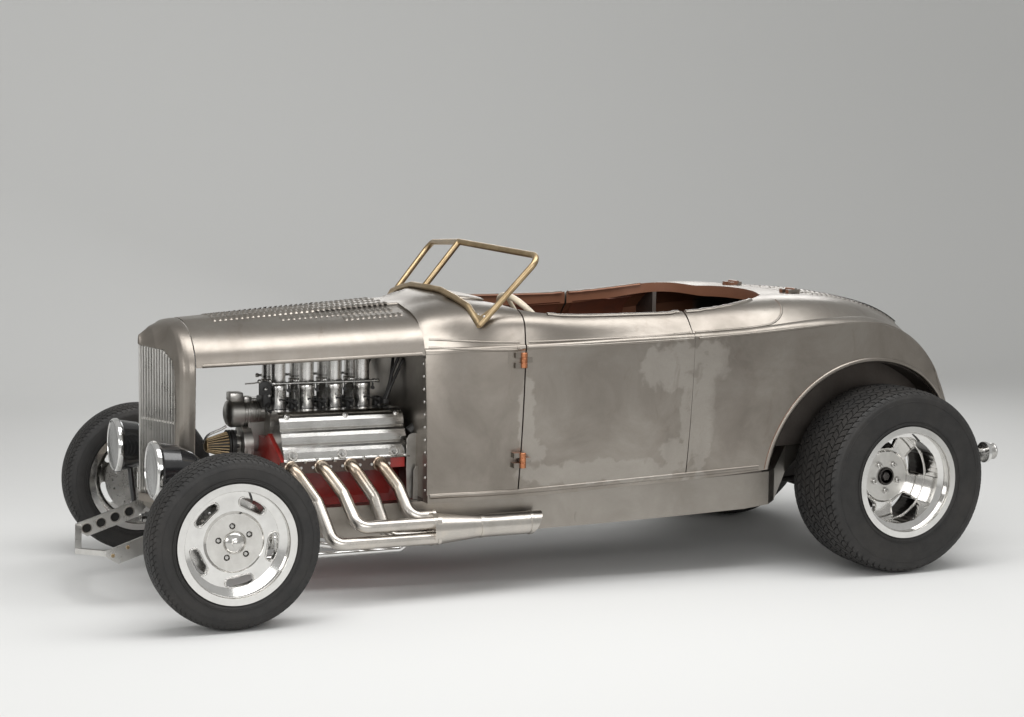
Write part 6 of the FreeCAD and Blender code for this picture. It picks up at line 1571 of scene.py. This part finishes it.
# Horns of the rails
horn_skin = Skin(["front_spreader"])
HORN_HOLES = [(1.619, 0.2407), (1.673, 0.2228), (1.727, 0.2049), (1.781, 0.1869)]
for side, name in SIDES:
    bm = bmesh.new()
    for station, height in ((-0.313, 0.187), (-0.260, 0.214)):
        found = horn_skin.side(station, height, side)
        if found is not None:
            bolt(bm, found[0], found[1], 0.0072, 0.0050)
    finish_piece("horn_bolts_" + name, bm, bronze)

# Blind holes along the inner face of each horn, drawn as dark discs of painted shade, and the bright edge
# round them
for side, name in SIDES:
    dark = bmesh.new()
    rims = bmesh.new()
    way = Vector((0, -side, 0))
    for forward_place, height in HORN_HOLES:
        seat = Vector((forward_place, side * 0.2648, height))
        turned_form(dark, seat - way * 0.0004, way, [(0, 0.0176), (0.0012, 0.0176)], 28)
        places = [Vector((forward_place + 0.0185 * math.cos(a), side * 0.2575, height + 0.0185 * math.sin(a)))
                  for a in [2 * math.pi * k / 40 for k in range(40)]]
        tube_along(rims, places, 0.0014, 8, True)
    finish_piece("horn_hole_shade_" + name, dark, hollow_shade)
    finish_piece("horn_hole_rims_" + name, rims, frame_steel)

# Windscreen frame bolts
screen_skin = Skin(["windscreen_frame"])
for side, name in SIDES:
    bm = bmesh.new()
    for track, station in ((0.472, 0.990), (0.505, 0.998), (0.530, 1.010)):
        found = screen_skin.top(station, side * track)
        if found is not None and found[0].z < 1.06:
            bolt(bm, found[0], found[1], 0.0055, 0.0035, True)
    finish_piece("screen_bolts_" + name, bm, satin_alloy)

# Hood's rolled lower edge
for side, name in SIDES:
    line = []
    for k in range(60):
        s = 0.012 + (0.792 - 0.012) * k / 59
        low = None
        for step in range(40):
            z = 0.70 + 0.006 * step
            if hood_skin.side(s, z, side) is not None:
                under, over = z - 0.006, z
                for _ in range(9):
                    middle = (under + over) / 2
                    if hood_skin.side(s, middle, side) is None:
                        under = middle
                    else:
                        over = middle
                low = hood_skin.side(s, over, side)
                break
        if low is not None and (not line or (low[0] - line[-1][0]).length < 0.05):
            line.append((low[0] + Vector((0, 0, 0.006)), Vector((0, side, 0))))
    if len(line) > 10:
        moulding("hood_edge_" + name, line, 0.014, 0.006, steel, "chassis", 8)

# Floor, lamps and camera
bm = bmesh.new()
rows = [[bm.verts.new((-12, 12, 0)), bm.verts.new((12, 12, 0))]]
rows.append([bm.verts.new((-12, -5.0, 0)), bm.verts.new((12, -5.0, 0))])
for k in range(1, 13):
    angle = math.pi / 2 * k / 12
    rows.append([bm.verts.new((sx, -5.0 - 2.5 * math.sin(angle), 2.5 - 2.5 * math.cos(angle)))
                 for sx in (-12, 12)])
rows.append([bm.verts.new((-12, -7.5, 9)), bm.verts.new((12, -7.5, 9))])
for first, second in zip(rows, rows[1:]):
    bm.faces.new((first[0], first[1], second[1], second[0]))
mesh = bpy.data.meshes.new("studio_floor")
bmesh.ops.recalc_face_normals(bm, faces=bm.faces)
bm.faces.ensure_lookup_table()
if bm.faces[0].normal.z < 0:
    bmesh.ops.reverse_faces(bm, faces=bm.faces)
bm.to_mesh(mesh)
bm.free()
for polygon in mesh.polygons:
    polygon.use_smooth = True
floor = bpy.data.objects.new("studio_floor", mesh)
scene.collection.objects.link(floor)
floor_material, tree, shader = new_material("studio_floor")
shader.inputs["Base Color"].default_value = (0.72, 0.72, 0.71, 1)
shader.inputs["Roughness"].default_value = 0.75
# The backdrop is seen through from its far side
surface = tree.nodes.new("ShaderNodeNewGeometry")
clear = tree.nodes.new("ShaderNodeBsdfTransparent")
either = tree.nodes.new("ShaderNodeMixShader")
output = tree.nodes["Material Output"]
tree.links.new(surface.outputs["Backfacing"], either.inputs["Fac"])
tree.links.new(shader.outputs["BSDF"], either.inputs[1])
tree.links.new(clear.outputs["BSDF"], either.inputs[2])
tree.links.new(either.outputs["Shader"], output.inputs["Surface"])
mesh.materials.append(floor_material)

world = bpy.data.worlds.new("studio")
scene.world = world
world.use_nodes = True
world.node_tree.nodes["Background"].inputs["Color"].default_value = (0.62, 0.62, 0.61, 1)
world.node_tree.nodes["Background"].inputs["Strength"].default_value = 0.75


def lamp(name, place, target, size_x, size_y, power):
    """Rectangular lamp that looks at a target."""
    data = bpy.data.lights.new(name, "AREA")
    data.shape = "RECTANGLE"
    data.size = size_x
    data.size_y = size_y
    data.energy = power
    light = bpy.data.objects.new(name, data)
    scene.collection.objects.link(light)
    light.location = place
    light.rotation_euler = (Vector(target) - Vector(place)).to_track_quat("-Z", "Y").to_euler()


lamp("overhead", (0.2, 1.2, 3.8), (0.0, 0.0, 0.6), 5.5, 2.2, 150)
lamp("side", (1.6, 6.5, 2.6), (0.1, 0.0, 0.5), 4.0, 2.0, 100)
lamp("back", (-2.5, -4.5, 3.0), (0.0, 0.0, 0.6), 4.0, 1.6, 60)
lamp("front", (6.0, 2.6, 2.0), (1.4, 0.1, 0.6), 2.4, 1.6, 55)

# The camera fitted to the photograph
CAMERA_PLACE = (3.264179, 6.967725, 1.626187)
FOCAL_LENGTH_PIXELS = 1934.241
PHOTO_WIDTH_PIXELS = 1024
SENSOR_WIDTH = 36
yaw, pitch, roll = math.radians(24.108), math.radians(6.099), math.radians(0.865)
level_ahead = Vector((-math.sin(yaw), -math.cos(yaw), 0))
level_right = Vector((-math.cos(yaw), math.sin(yaw), 0))
view_way = level_ahead * math.cos(pitch) - UP * math.sin(pitch)
view_up = level_ahead * math.sin(pitch) + UP * math.cos(pitch)
image_right = level_right * math.cos(roll) + view_up * math.sin(roll)
image_up = view_up * math.cos(roll) - level_right * math.sin(roll)
camera_data = bpy.data.cameras.new("camera")
camera_data.sensor_width = SENSOR_WIDTH
camera_data.lens = FOCAL_LENGTH_PIXELS * SENSOR_WIDTH / PHOTO_WIDTH_PIXELS
camera = bpy.data.objects.new("camera", camera_data)
scene.collection.objects.link(camera)
turn = Matrix((image_right, image_up, -view_way)).transposed().to_4x4()
camera.matrix_world = Matrix.Translation(CAMERA_PLACE) @ turn
scene.camera = camera
scene.view_settings.view_transform = "Standard"
